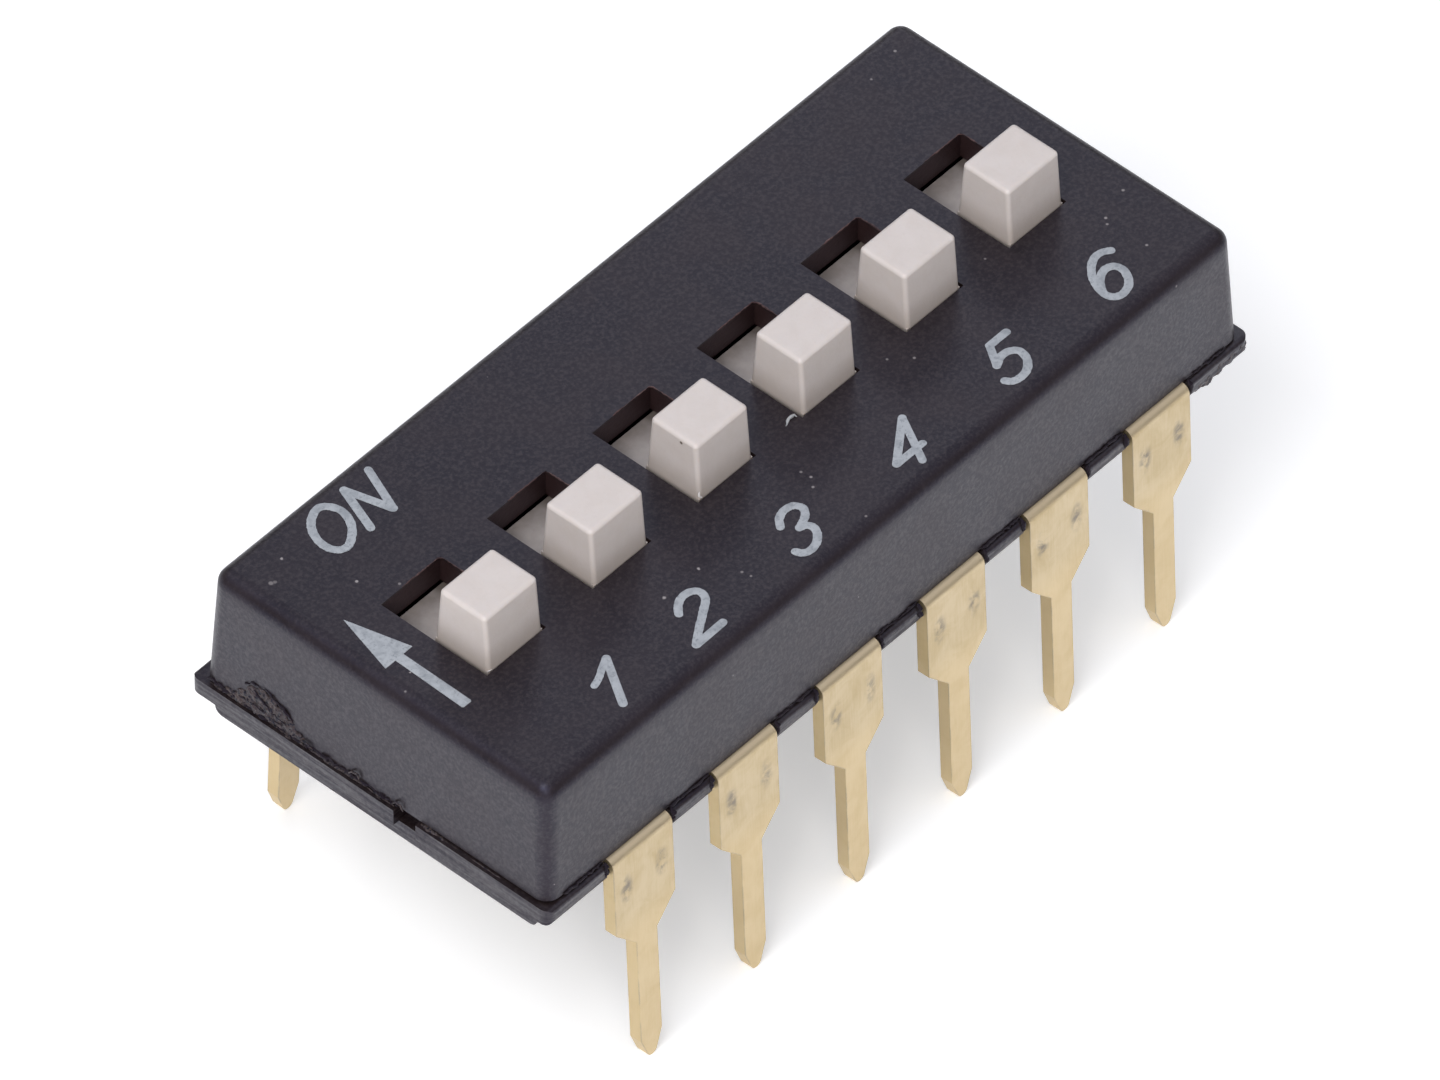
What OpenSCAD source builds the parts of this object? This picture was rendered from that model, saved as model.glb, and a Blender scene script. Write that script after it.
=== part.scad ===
// Six-way slide DIP switch with raised square actuators.
// All sizes are in millimetres. X runs along the row of switches, Y points to the ON side, Z points up.
// Z = 0 is the seating plane, where the shoulders of the terminals end and their stems start.
// The origin lies in the middle of the two rows of terminals. The switches are shown OFF.

/* [Row] */

// distance between neighbouring switches and terminals
pitch = 2.54; // [2.5:0.01:2.58]
// distance between the two rows of terminals at the bend
row_spacing = 7.62; // [7.6:0.01:7.7]
// height of the cover's top face above the seating plane
seat_h = 4.73; // [4.6:0.01:5]
// distance from the middle of an end switch to the end of the base
end_margin = 2.25; // [2.2:0.01:2.3]

/* [Cover] */

// step from the end of the base in to the end of the top face
cover_inset_x = 0.23; // [0.18:0.01:0.3]
// step from the side of the flange in to the side of the top face
cover_inset_y = 0.27; // [0.24:0.01:0.36]
// height of the cover
cover_h = 2.49; // [2.4:0.01:2.55]
// slope of the cover's side walls in degrees
cover_draft = 2.8; // [2:0.1:3.5]
// radius of the upper edges and the corners
cover_edge_r = 0.28; // [0.12:0.01:0.34]
// thickness of the top wall
top_wall = 0.55; // [0.5:0.01:0.6]
// shift of the cover towards the far end of the row
cover_shift_x = 0.03; // [0:0.01:0.06]

/* [Slots] */

// width of a slot
slot_wid = 1.42; // [1.38:0.01:1.5]
// length of a slot
slot_len = 2.31; // [2.2:0.01:2.4]
// shift of the slots towards the OFF side
slot_shift = 0.04; // [0:0.01:0.06]

/* [Actuator] */

// width of the stem's top along the row
stem_wid = 1.27; // [1.15:0.01:1.3]
// length of the stem's top in the sliding direction
stem_len = 0.99; // [0.9:0.01:1.02]
// height of the stem's top above the cover
stem_h = 1.18; // [0.9:0.01:1.4]
// slope of the stem's front and back in degrees
stem_draft = 4.4; // [4:0.1:5]
// slope of the stem's two sides in degrees
stem_side_draft = 0.6; // [0.3:0.1:1]
// radius of the stem's edges and corners
stem_edge_r = 0.08; // [0.04:0.01:0.14]
// width of the slider plate
slider_wid = 1.9; // [1.86:0.01:1.96]
// length of the slider plate
slider_len = 3.32; // [3.3:0.01:3.6]
// thickness of a skirt of the slider
skirt_wall = 0.26; // [0.24:0.01:0.28]
// thickness of the slider plate
slider_plate = 1.08; // [1:0.01:1.12]

/* [Contact spring] */

// thickness of the spring strip
spring_t = 0.08; // [0.06:0.01:0.1]
// width of the spring strip
spring_wid = 0.9; // [0.8:0.01:1]
// step from the slider's front end in to the front contact point
spring_inset_f = 0.41; // [0.38:0.01:0.46]
// step from the slider's back end in to the back contact point
spring_inset_b = 1.16; // [1.06:0.01:1.26]
// radius of the contact points and curls
spring_r = 0.14; // [0.12:0.01:0.16]
// half of the flat length of the spring
spring_flat = 0.34; // [0.32:0.01:0.36]
// lean of the spring's legs at the contact points in degrees
spring_lean = 52; // [48:1:56]
// length of the turned-up ends of the spring
spring_tail = 0.3; // [0.28:0.01:0.32]
// diameter of the peg that holds the spring
peg_d = 0.34; // [0.3:0.01:0.38]
// width of the rim of the peg's head
peg_rim = 0.11; // [0.08:0.01:0.12]
// thickness of the peg's head
peg_head_t = 0.1; // [0.08:0.01:0.12]

/* [Base] */

// reach of the flange past the middle of the terminals' sheet
flange_reach = 0.11; // [0.08:0.01:0.14]
// thickness of the flange
flange_t = 0.34; // [0.3:0.01:0.36]
// shift of the flange towards the far end of the row
flange_shift_x = 0.05; // [0:0.01:0.08]
// shift of the flange towards the ON side
flange_shift_y = 0.06; // [0:0.01:0.08]
// height of the open seam between cover and flange
seam_h = 0.06; // [0.04:0.01:0.1]
// thickness of the base under the cover's seam
base_t = 0.7; // [0.66:0.01:0.8]
// step from the end of the flange in to the end of the lower part
foot_inset_x = 0.13; // [0.1:0.01:0.2]
// step from the side of the flange in to the side of the lower part
foot_inset_y = 0.4; // [0.36:0.01:0.44]
// radius of the lower long edges
foot_edge_r = 0.16; // [0.1:0.01:0.18]
// radius of the flange's corners and edges
flange_edge_r = 0.09; // [0.06:0.01:0.12]
// height of the raised deck that enters the cover
deck_h = 0.5; // [0.4:0.01:0.6]
// step from the end of the cover in to the end of the deck
deck_inset_x = 0.68; // [0.66:0.01:0.7]
// step from the side of the cover in to the side of the deck
deck_inset_y = 0.65; // [0.6:0.01:0.66]
// radius of the latch ridges at the ends of the deck
latch_r = 0.1; // [0.08:0.01:0.12]
// length of a latch ridge
latch_len = 3; // [2.6:0.1:3.4]
// width of the gate notch in the flange at the near end
gate_wid = 0.48; // [0.4:0.01:0.6]
// depth of the gate notch
gate_depth = 0.3; // [0.2:0.01:0.34]
// place of the gate notch across the row
gate_y = -0.73; // [-0.9:0.01:0.9]
// width of the notches in the flange where the terminals pass
notch_wid = 1.56; // [1.52:0.01:1.64]

/* [Terminals] */

// thickness of the sheet
term_t = 0.245; // [0.22:0.005:0.26]
// width of the shoulder part
term_wid = 1.425; // [1.38:0.005:1.44]
// width of the stem
term_stem = 0.5; // [0.45:0.01:0.6]
// height of the tapered shoulder
term_taper = 0.5; // [0.4:0.01:0.6]
// length of the stem below the seating plane
term_len = 2.83; // [2.6:0.01:3.3]
// height of the pointed tip
term_tip = 0.46; // [0.35:0.01:0.55]
// radius of the tip's point
term_tip_r = 0.12; // [0.08:0.01:0.15]
// outer radius of the bend
term_bend_r = 0.17; // [0.12:0.01:0.22]
// outward lean of the terminals in degrees
term_splay = 2.5; // [0:0.1:3]
// width of the strip where it leaves the base
strip_wid = 1.26; // [1.2:0.01:1.28]
// width of the contact pad inside
pad_wid = 1; // [0.9:0.01:1.04]
// half of the space between the two pads of one switch
pad_gap = 0.5; // [0.45:0.01:0.52]
// length of the slanted step between the strip and its pad
pad_step = 0.06; // [0.04:0.01:0.08]
// width of the base's wall between the channel and that step
pad_wall = 0.14; // [0.12:0.01:0.16]

/* [Clearances] */

// clearance between a slider and its channel, each side
run_gap = 0.04; // [0.03:0.01:0.05]
// clearance between the stem and the end of its slot
end_gap = 0.02; // [0.01:0.01:0.04]
// clearance between the pieces that are fixed together
fit_gap = 0.02; // [0.01:0.005:0.03]

/* [Hidden] */

ways = 6;
eps = 0.01;

// outlines of base and cover
base_len = (ways - 1) * pitch + 2 * end_margin;
flange_wid = row_spacing + 2 * flange_reach;
foot_len = base_len - 2 * foot_inset_x;
foot_wid = flange_wid - 2 * foot_inset_y;
cover_len = base_len - 2 * cover_inset_x;
cover_wid = flange_wid - 2 * cover_inset_y;
deck_len = cover_len - 2 * deck_inset_x;
deck_wid = cover_wid - 2 * deck_inset_y;

// heights of the cover
cover_z = seat_h - cover_h;
chamber_z = seat_h - top_wall;

// terminals and base, seen from the seam downwards
strip_top = cover_z - fit_gap / 2;
strip_z = strip_top - term_t;
row_y = row_spacing / 2;
face_y = row_y + term_t / 2;
floor_z = strip_top;
flange_top = cover_z - seam_h;
flange_z = flange_top - flange_t;
foot_z = flange_top - base_t;
deck_top = flange_top + deck_h;

// slider
slider_top = chamber_z - run_gap;
slider_z = floor_z + run_gap;
ceiling_z = slider_top - slider_plate;
stem_tan = tan(stem_draft);
stem_side_tan = tan(stem_side_draft);
stem_foot_len = stem_len + 2 * stem_h * stem_tan;
travel = slot_len - stem_foot_len - 2 * end_gap;
rest_y = -slot_shift - travel / 2;
channel_wid = slider_wid + 2 * run_gap;
channel_len = slider_len + travel + 2 * run_gap;
pad_start = channel_len / 2 + pad_wall;

// contact points and peg of the spring, from the stem's middle
spring_front = spring_inset_f - slider_len / 2;
spring_back = slider_len / 2 - spring_inset_b;
peg_y = (spring_front + spring_back) / 2;

// place of switch i along the row, counted from 1
function way_x(i) = (i - (ways + 1) / 2) * pitch;

// colours
charcoal = [0.2, 0.19, 0.21];
ivory = [0.86, 0.83, 0.8];
gold = [0.85, 0.76, 0.52];
bronze = [0.72, 0.55, 0.3];

// Half a width of a sloped wall, moved in so that an edge of radius r touches wall and top.
function round_x(half, slope, r) = half + r * tan(slope) - r / cos(slope);

// Upright outline of a sloped block with rounded upper edges, from z = 0 to z = h.
module sloped_outline(half_top, h, slope, r) {
    half_foot = half_top + h * tan(slope);
    cx = round_x(half_top, slope, r);
    tx = cx + r * cos(slope);
    tz = h - r + r * sin(slope);
    polygon([[-half_foot, 0], [half_foot, 0], [tx, tz], [cx, h], [-cx, h], [-tx, tz]]);
    for (s = [-1, 1])
        translate([s * cx, h - r])
            circle(r, $fn = 96);
}

// Cutter that rounds one upright corner of a sloped block. sx and sy choose the corner.
module corner_cutter(half_x, half_y, h, slope_x, slope_y, r, sx, sy) {
    fx = half_x + h * tan(slope_x);
    fy = half_y + h * tan(slope_y);
    n = sqrt(1 + pow(tan(slope_x), 2) + pow(tan(slope_y), 2));
    c = sin(slope_x) * sin(slope_y);
    s = sqrt(1 - c * c);
    cy = -r * (1 - c) / s;
    t2 = [-r + r * c, cy + r * s];
    translate([sx * fx, sy * fy, 0])
        rotate([sy * asin(tan(slope_y) / n), -sx * slope_x, 0])
            translate([0, 0, -0.5])
                linear_extrude(h + 1)
                    difference() {
                        polygon([[-sx * r, sy * cy], [0, sy * cy], [sx, sy * cy], [sx, sy],
                            [sx * t2[0], sy], [sx * t2[0], sy * t2[1]]]);
                        translate([-sx * r, sy * cy])
                            circle(r, $fn = 96);
                    }
}

// Cutter that rounds one upper corner of a sloped block with a ball. sx and sy choose the corner.
module ball_cutter(half_x, half_y, h, slope_x, slope_y, r, sx, sy) {
    n = sqrt(1 + pow(tan(slope_x), 2) + pow(tan(slope_y), 2));
    translate([sx * round_x(half_x, slope_x, r), sy * round_x(half_y, slope_y, r), h - r])
        difference() {
            intersection() {
                translate([min(sx, 0), min(sy, 0), -1])
                    cube([1, 1, 2]);
                rotate([sy * asin(tan(slope_y) / n), -sx * slope_x, 0])
                    translate([-2, -2, 0])
                        cube([4, 4, 2]);
            }
            sphere(r, $fn = 96);
        }
}

// Solid block with sloped walls. Its upper edges and upright corners are rounded with one radius.
module sloped_block(half_x, half_y, h, slope_x, slope_y, r) {
    difference() {
        difference() {
            intersection() {
                translate([0, half_y + 1, 0])
                    rotate([90, 0, 0])
                        linear_extrude(2 * half_y + 2)
                            sloped_outline(half_x, h, slope_x, r);
                translate([-half_x - 1, 0, 0])
                    rotate([90, 0, 90])
                        linear_extrude(2 * half_x + 2)
                            sloped_outline(half_y, h, slope_y, r);
            }
            for (sx = [-1, 1], sy = [-1, 1])
                corner_cutter(half_x, half_y, h, slope_x, slope_y, r, sx, sy);
        }
        for (sx = [-1, 1], sy = [-1, 1])
            ball_cutter(half_x, half_y, h, slope_x, slope_y, r, sx, sy);
    }
}

// Box with a middle in X and Y and a lower and an upper height.
module box(size_x, size_y, z0, z1) {
    translate([-size_x / 2, -size_y / 2, z0])
        cube([size_x, size_y, z1 - z0]);
}

// Rectangle with rounded corners around the origin.
module rounded_rect(size_x, size_y, r) {
    square([size_x - 2 * r, size_y], center = true);
    square([size_x, size_y - 2 * r], center = true);
    for (sx = [-1, 1], sy = [-1, 1])
        translate([sx * (size_x / 2 - r), sy * (size_y / 2 - r)])
            circle(r, $fn = 96);
}

// Half-round ridge across each end of the deck. It clicks into a groove of the cover.
module latch_ridges(r, len) {
    for (s = [-1, 1])
        translate([s * (deck_len / 2 - latch_r / 5), len / 2, flange_top + deck_h / 2])
            rotate([90, 0, 0])
                cylinder(r = r, h = len, $fn = 64);
}

module cover() {
    color(charcoal)
        difference() {
            translate([cover_shift_x, 0, cover_z])
                sloped_block(cover_len / 2, cover_wid / 2, cover_h, cover_draft, cover_draft,
                    cover_edge_r);
            // recess that takes the deck of the base
            translate([cover_shift_x, 0, 0]) {
                box(deck_len + 2 * fit_gap, deck_wid + 2 * fit_gap, cover_z - 1, deck_top + fit_gap);
                latch_ridges(latch_r + fit_gap, latch_len + 2 * fit_gap);
            }
            for (i = [1 : ways])
                translate([way_x(i), -slot_shift, 0]) {
                    // channel of the slider
                    box(channel_wid, channel_len, cover_z, chamber_z);
                    // slot of the stem
                    box(slot_wid, slot_len, chamber_z - eps, seat_h + 1);
                }
        }
}

// Opening that a terminal fills in the base, at the OFF side and at the origin of the row.
module strip_pocket() {
    step_y = pad_start - fit_gap;
    translate([0, -face_y - 1, 0])
        box(strip_wid + 2 * fit_gap, 2 * (face_y + 1 - step_y), strip_z - fit_gap, strip_top + fit_gap);
    translate([0, -step_y, 0])
        box(pad_wid + 2 * fit_gap, 2 * (step_y - pad_gap + fit_gap), strip_z - fit_gap,
            strip_top + fit_gap);
    translate([0, -face_y, 0])
        box(notch_wid, 2 * (face_y - foot_wid / 2 - flange_shift_y), flange_z - 1, flange_top + 1);
}

module base() {
    color(charcoal)
        difference() {
            union() {
                // flange under the cover's edge
                translate([flange_shift_x, flange_shift_y, 0])
                    difference() {
                        translate([-base_len / 2, 0, flange_z + flange_t / 2])
                            rotate([90, 0, 90])
                                linear_extrude(base_len)
                                    rounded_rect(flange_wid, flange_t, flange_edge_r);
                        // rounds the four corners of the flange
                        translate([0, 0, flange_z - 1])
                            linear_extrude(flange_t + 2)
                                difference() {
                                    square([base_len + 2, flange_wid + 2], center = true);
                                    rounded_rect(base_len, flange_wid, 2 * flange_edge_r);
                                }
                    }
                // lower part with rounded long edges
                translate([flange_shift_x - foot_len / 2, flange_shift_y / 2, foot_z])
                    rotate([90, 0, 90])
                        linear_extrude(foot_len) {
                            translate([-foot_wid / 2, foot_edge_r])
                                square([foot_wid, base_t - foot_edge_r - flange_t / 2]);
                            translate([-foot_wid / 2 + foot_edge_r, 0])
                                square([foot_wid - 2 * foot_edge_r, base_t / 2]);
                            for (s = [-1, 1])
                                translate([s * (foot_wid / 2 - foot_edge_r), foot_edge_r])
                                    circle(foot_edge_r, $fn = 96);
                        }
                translate([cover_shift_x, 0, 0]) {
                    // deck that enters the cover
                    box(deck_len, deck_wid, flange_z, deck_top);
                    latch_ridges(latch_r, latch_len);
                }
            }
            // channels of the sliders
            for (i = [1 : ways])
                translate([way_x(i), -slot_shift, 0])
                    box(channel_wid, channel_len, floor_z, deck_top + 1);
            // pockets and notches of the terminals
            for (i = [1 : ways])
                translate([way_x(i), 0, 0]) {
                    strip_pocket();
                    rotate([0, 0, 180])
                        strip_pocket();
                }
            // small gate notch in the flange at the near end
            translate([flange_shift_x - base_len / 2 - 1, gate_y - gate_wid / 2, flange_z])
                cube([1 + gate_depth, gate_wid, flange_t + 1]);
        }
}

// Slider with its raised stem, at the origin in X and Y.
module slider() {
    translate([0, 0, seat_h - eps])
        sloped_block(stem_wid / 2, stem_len / 2, stem_h + eps, stem_side_draft, stem_draft,
            stem_edge_r);
    // neck of the stem in the slot, plate and skirts
    box(stem_wid + 2 * stem_h * stem_side_tan, stem_foot_len - 0.02, slider_top - eps, seat_h);
    difference() {
        box(slider_wid, slider_len, slider_z, slider_top);
        box(slider_wid - 2 * skirt_wall, slider_len + 1, slider_z - 1, ceiling_z);
    }
    // peg with a flattened head, which carries the contact spring
    head_z = ceiling_z - spring_t - 2 * fit_gap;
    translate([0, peg_y, head_z - eps])
        cylinder(d = peg_d, h = ceiling_z - head_z + 2 * eps, $fn = 64);
    translate([0, peg_y, head_z - peg_head_t])
        cylinder(d = peg_d + 2 * peg_rim, h = peg_head_t, $fn = 64);
}

module actuator(i) {
    color(ivory)
        translate([way_x(i), rest_y, 0])
            slider();
}

// Points on an arc around c, from angle a0 to angle a1.
function arc_points(c, r, a0, a1) =
    [for (k = [0 : 8]) c + r * [cos(a0 + (a1 - a0) * k / 8), sin(a0 + (a1 - a0) * k / 8)]];

// Unit vector across the step from a to b.
function across(a, b) = [a[1] - b[1], b[0] - a[0]] / norm(b - a);

// Sideways step at point k of a path, so that the strip keeps its thickness around a bend.
function side_step(path, k) =
    let (last = len(path) - 1,
        n0 = across(path[max(k - 1, 0)], path[max(k, 1)]),
        n1 = across(path[min(k, last - 1)], path[min(k + 1, last)]),
        n = (n0 + n1) / norm(n0 + n1))
    n / (n * n1);

// Closed outline of a strip of thickness t along a path.
function strip_outline(path, t) = concat(
    [for (k = [0 : len(path) - 1]) path[k] + side_step(path, k) * t / 2],
    [for (k = [len(path) - 1 : -1 : 0]) path[k] - side_step(path, k) * t / 2]);

// Bent contact spring seen from the side. The flat part lies under the slider's plate.
module spring_outline() {
    flat_z = ceiling_z - fit_gap - spring_t / 2;
    bow_z = floor_z + fit_gap + spring_t / 2 + spring_r;
    tail_z = bow_z + 0.4 * spring_tail;
    path = concat(
        [[spring_front - spring_tail, tail_z]],
        arc_points([spring_front, bow_z], spring_r, 270 - spring_lean, 270 + spring_lean),
        [[peg_y - spring_flat, flat_z], [peg_y + spring_flat, flat_z]],
        arc_points([spring_back, bow_z], spring_r, 270 - spring_lean, 270 + spring_lean),
        [[spring_back + spring_tail, tail_z]]);
    polygon(strip_outline(path, spring_t));
}

module contact(i) {
    color(bronze)
        translate([way_x(i), rest_y, 0])
            difference() {
                translate([-spring_wid / 2, 0, 0])
                    rotate([90, 0, 90])
                        linear_extrude(spring_wid)
                            spring_outline();
                translate([0, peg_y, ceiling_z - 0.3])
                    cylinder(d = peg_d + 2 * fit_gap, h = 0.4, $fn = 64);
            }
}

// Flat outline of the part of a terminal below the bend, from z = 0 at the bend downwards.
module blade_outline(bend_z) {
    p = [term_stem / 2, term_tip - term_tip_r];
    a = atan2(p[1], p[0]) - acos(term_tip_r / norm(p));
    tip_z = -bend_z - term_len;
    cz = tip_z + term_tip_r;
    t = [term_tip_r * cos(a), cz + term_tip_r * sin(a)];
    polygon([[-term_wid / 2, 0], [-term_wid / 2, term_taper - bend_z], [-term_stem / 2, -bend_z],
        [-term_stem / 2, tip_z + term_tip], [-t[0], t[1]],
        [t[0], t[1]], [term_stem / 2, tip_z + term_tip], [term_stem / 2, -bend_z],
        [term_wid / 2, term_taper - bend_z], [term_wid / 2, 0]]);
    translate([0, cz])
        circle(term_tip_r, $fn = 96);
}

// Terminal of the OFF side at the origin of the row.
module terminal_shape() {
    bend_y = -face_y + term_bend_r;
    bend_z = strip_top - term_bend_r;
    neck_y = bend_y + 0.14;
    pad_y = pad_step - pad_start;
    // flat strip with the contact pad, seen from above
    translate([0, 0, strip_z])
        linear_extrude(term_t)
            polygon([[-term_wid / 2, bend_y], [-strip_wid / 2, neck_y], [-strip_wid / 2, -pad_start],
                [-pad_wid / 2, pad_y], [-pad_wid / 2, -pad_gap], [pad_wid / 2, -pad_gap],
                [pad_wid / 2, pad_y], [strip_wid / 2, -pad_start], [strip_wid / 2, neck_y],
                [term_wid / 2, bend_y]]);
    // outside of the bend
    translate([-term_wid / 2, bend_y, bend_z])
        rotate([0, 90, 0])
            cylinder(r = term_bend_r, h = term_wid, $fn = 96);
    // blade with shoulders, stem and tip
    translate([0, bend_y, bend_z])
        rotate([-term_splay, 0, 0])
            translate([0, term_t - term_bend_r, 0])
                rotate([90, 0, 0])
                    linear_extrude(term_t)
                        blade_outline(bend_z);
}

// Terminals 1 to 6 stand at the OFF side, 7 to 12 at the ON side and run back.
module terminal(i) {
    color(gold)
        if (i <= ways) {
            translate([way_x(i), 0, 0])
                terminal_shape();
        } else {
            translate([way_x(2 * ways + 1 - i), 0, 0])
                rotate([0, 0, 180])
                    terminal_shape();
        }
}

cover();
base();
actuator(1);  // actuator_1
actuator(2);  // actuator_2
actuator(3);  // actuator_3
actuator(4);  // actuator_4
actuator(5);  // actuator_5
actuator(6);  // actuator_6
contact(1);  // contact_1
contact(2);  // contact_2
contact(3);  // contact_3
contact(4);  // contact_4
contact(5);  // contact_5
contact(6);  // contact_6
terminal(1);  // terminal_1
terminal(2);  // terminal_2
terminal(3);  // terminal_3
terminal(4);  // terminal_4
terminal(5);  // terminal_5
terminal(6);  // terminal_6
terminal(7);  // terminal_7
terminal(8);  // terminal_8
terminal(9);  // terminal_9
terminal(10);  // terminal_10
terminal(11);  // terminal_11
terminal(12);  // terminal_12
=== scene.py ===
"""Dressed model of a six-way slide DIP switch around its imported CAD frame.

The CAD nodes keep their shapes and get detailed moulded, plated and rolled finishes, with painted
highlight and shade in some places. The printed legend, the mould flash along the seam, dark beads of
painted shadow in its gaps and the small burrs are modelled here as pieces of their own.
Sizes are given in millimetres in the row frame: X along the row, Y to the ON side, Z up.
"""

import logging
import math
import random
from dataclasses import dataclass, field
from enum import Enum
from typing import Any, Sequence

import bpy
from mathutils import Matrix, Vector


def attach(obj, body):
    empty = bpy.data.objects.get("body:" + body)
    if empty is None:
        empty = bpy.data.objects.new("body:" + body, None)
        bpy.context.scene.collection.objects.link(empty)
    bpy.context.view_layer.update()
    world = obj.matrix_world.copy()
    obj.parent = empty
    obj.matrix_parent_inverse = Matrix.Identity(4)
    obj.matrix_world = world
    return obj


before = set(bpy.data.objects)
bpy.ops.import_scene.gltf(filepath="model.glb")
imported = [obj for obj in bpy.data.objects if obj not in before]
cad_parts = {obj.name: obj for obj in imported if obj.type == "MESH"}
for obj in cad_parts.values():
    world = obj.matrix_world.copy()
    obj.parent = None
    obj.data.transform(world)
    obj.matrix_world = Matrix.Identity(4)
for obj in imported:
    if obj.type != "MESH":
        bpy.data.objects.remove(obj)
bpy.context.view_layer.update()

LOG = logging.getLogger("dip_switch")
Socket = bpy.types.NodeSocket
Sockets = bpy.types.bpy_prop_collection
Point = tuple[float, float]
Span = tuple[float, float]
Place = tuple[float, float, float]
Colour = tuple[float, float, float]
FLOAT = "NodeSocketFloat"
VECTOR = "NodeSocketVector"
SMOOTH_ANGLE = 35.0
SOFT_EDGE_ANGLE = 60.0

# One millimetre in metres
MM = 0.001

# Driving sizes of the row frame, in millimetres
PITCH = 2.54
WAYS = 6
FIRST_WAY = -6.35
COVER_TOP = 4.73
SEAM_FRONT = -3.79


def way_x(number: int) -> float:
    """Middle of a way along the row."""
    return FIRST_WAY + PITCH * (number - 1)


class Body(Enum):
    """Moving bodies of the row frame that pieces ride on."""

    HOUSING = "housing"
    SWITCH = "switch"

    def name_of(self, number: int = 0) -> str:
        """Body name, with the switch's number where there is one."""
        return f"{self.value}_{number}" if number else self.value


class Slot(Enum):
    """Names of the record's material slots."""

    COVER = "cover"
    BASE = "base"
    ACTUATOR = "actuator"


# Shader building blocks


class Canvas:
    """Thin helper around a node tree that adds and links shader nodes."""

    def __init__(self, tree: bpy.types.NodeTree) -> None:
        """Keeps the tree that the nodes go into."""
        self.tree = tree

    def add(self, kind: str, **settings: Any) -> bpy.types.Node:
        """Adds a node.

        Args:
            kind: Blender's node type, such as "ShaderNodeMix".
            **settings: Properties of the node itself.

        Returns:
            The new node.
        """
        node = self.tree.nodes.new(kind)
        for key, value in settings.items():
            setattr(node, key, value)
        return node

    def feed(self, node: bpy.types.Node, **values: Any) -> bpy.types.Node:
        """Sets or links inputs of a node by name.

        Args:
            node: The node whose inputs are fed.
            **values: Input names with spaces written as underscores; sockets are linked,
                anything else becomes the input's value.

        Returns:
            The same node.
        """
        for key, value in values.items():
            self.put(node.inputs[key.replace("_", " ")], value)
        return node

    def put(self, socket: Socket, value: Any) -> None:
        """Links a socket to an input or sets the input's value."""
        if isinstance(value, Socket):
            self.tree.links.new(value, socket)
        elif isinstance(value, tuple) and len(value) == 3 and len(socket.default_value) == 4:
            socket.default_value = (*value, 1.0)
        else:
            socket.default_value = value

    def math(self, operation: str, a: Any, b: Any = 0.0, c: Any = None,
             clamp: bool = False) -> Socket:
        """Result of a Math node on two or three values.

        Args:
            operation: Name of the operation, such as "MULTIPLY".
            a: First value or socket.
            b: Second value or socket.
            c: Third value or socket, where the operation takes one.
            clamp: Whether the result stays between 0 and 1.

        Returns:
            The output socket.
        """
        node = self.add("ShaderNodeMath", operation=operation, use_clamp=clamp)
        self.put(node.inputs[0], a)
        self.put(node.inputs[1], b)
        if c is not None:
            self.put(node.inputs[2], c)
        return node.outputs[0]

    def times(self, a: Any, b: Any) -> Socket:
        """Product of two values."""
        return self.math("MULTIPLY", a, b)

    def ramp(self, value: Any, low: Any, high: Any, to_low: Any = 0.0,
             to_high: Any = 1.0) -> Socket:
        """Smooth step of a value between two limits.

        Args:
            value: Value or socket that is mapped.
            low: Where the step begins.
            high: Where the step ends.
            to_low: Result below the step.
            to_high: Result above the step.

        Returns:
            The output socket.
        """
        node = self.add("ShaderNodeMapRange", interpolation_type="SMOOTHSTEP")
        for name, item in (("Value", value), ("From Min", low), ("From Max", high),
                           ("To Min", to_low), ("To Max", to_high)):
            self.put(node.inputs[name], item)
        return node.outputs["Result"]

    def blend(self, factor: Any, a: Any, b: Any, how: str = "MIX") -> Socket:
        """Mix of two colours.

        Args:
            factor: Share of the second colour.
            a: First colour or socket.
            b: Second colour or socket.
            how: Blend mode of the Mix node.

        Returns:
            The colour socket.
        """
        node = self.add("ShaderNodeMix", data_type="RGBA", blend_type=how)
        self.put(node.inputs["Factor"], factor)
        self.put(node.inputs["A"], a)
        self.put(node.inputs["B"], b)
        return node.outputs["Result"]

    def millimetres(self) -> Socket:
        """Object coordinates turned from metres into millimetres."""
        place = self.add("ShaderNodeTexCoord")
        scale = self.add("ShaderNodeVectorMath", operation="SCALE")
        self.put(scale.inputs[0], place.outputs["Object"])
        self.put(scale.inputs["Scale"], 1.0 / MM)
        return scale.outputs[0]

    def split(self, vector: Any) -> Sockets:
        """X, Y and Z parts of a vector."""
        parts = self.add("ShaderNodeSeparateXYZ")
        self.put(parts.inputs[0], vector)
        return parts.outputs

    def noise(self, vector: Any, scale: Any, detail: float = 3.0, rough: float = 0.55,
              distortion: float = 0.0) -> Socket:
        """Value of a Noise texture.

        Args:
            vector: Coordinates.
            scale: Waves per unit of the coordinates.
            detail: Number of finer octaves.
            rough: Strength of the finer octaves.
            distortion: Warp of the pattern.

        Returns:
            The factor socket.
        """
        node = self.add("ShaderNodeTexNoise")
        self.feed(node, Vector=vector, Scale=scale, Detail=detail, Roughness=rough,
                  Distortion=distortion)
        return node.outputs["Fac"]


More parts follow.
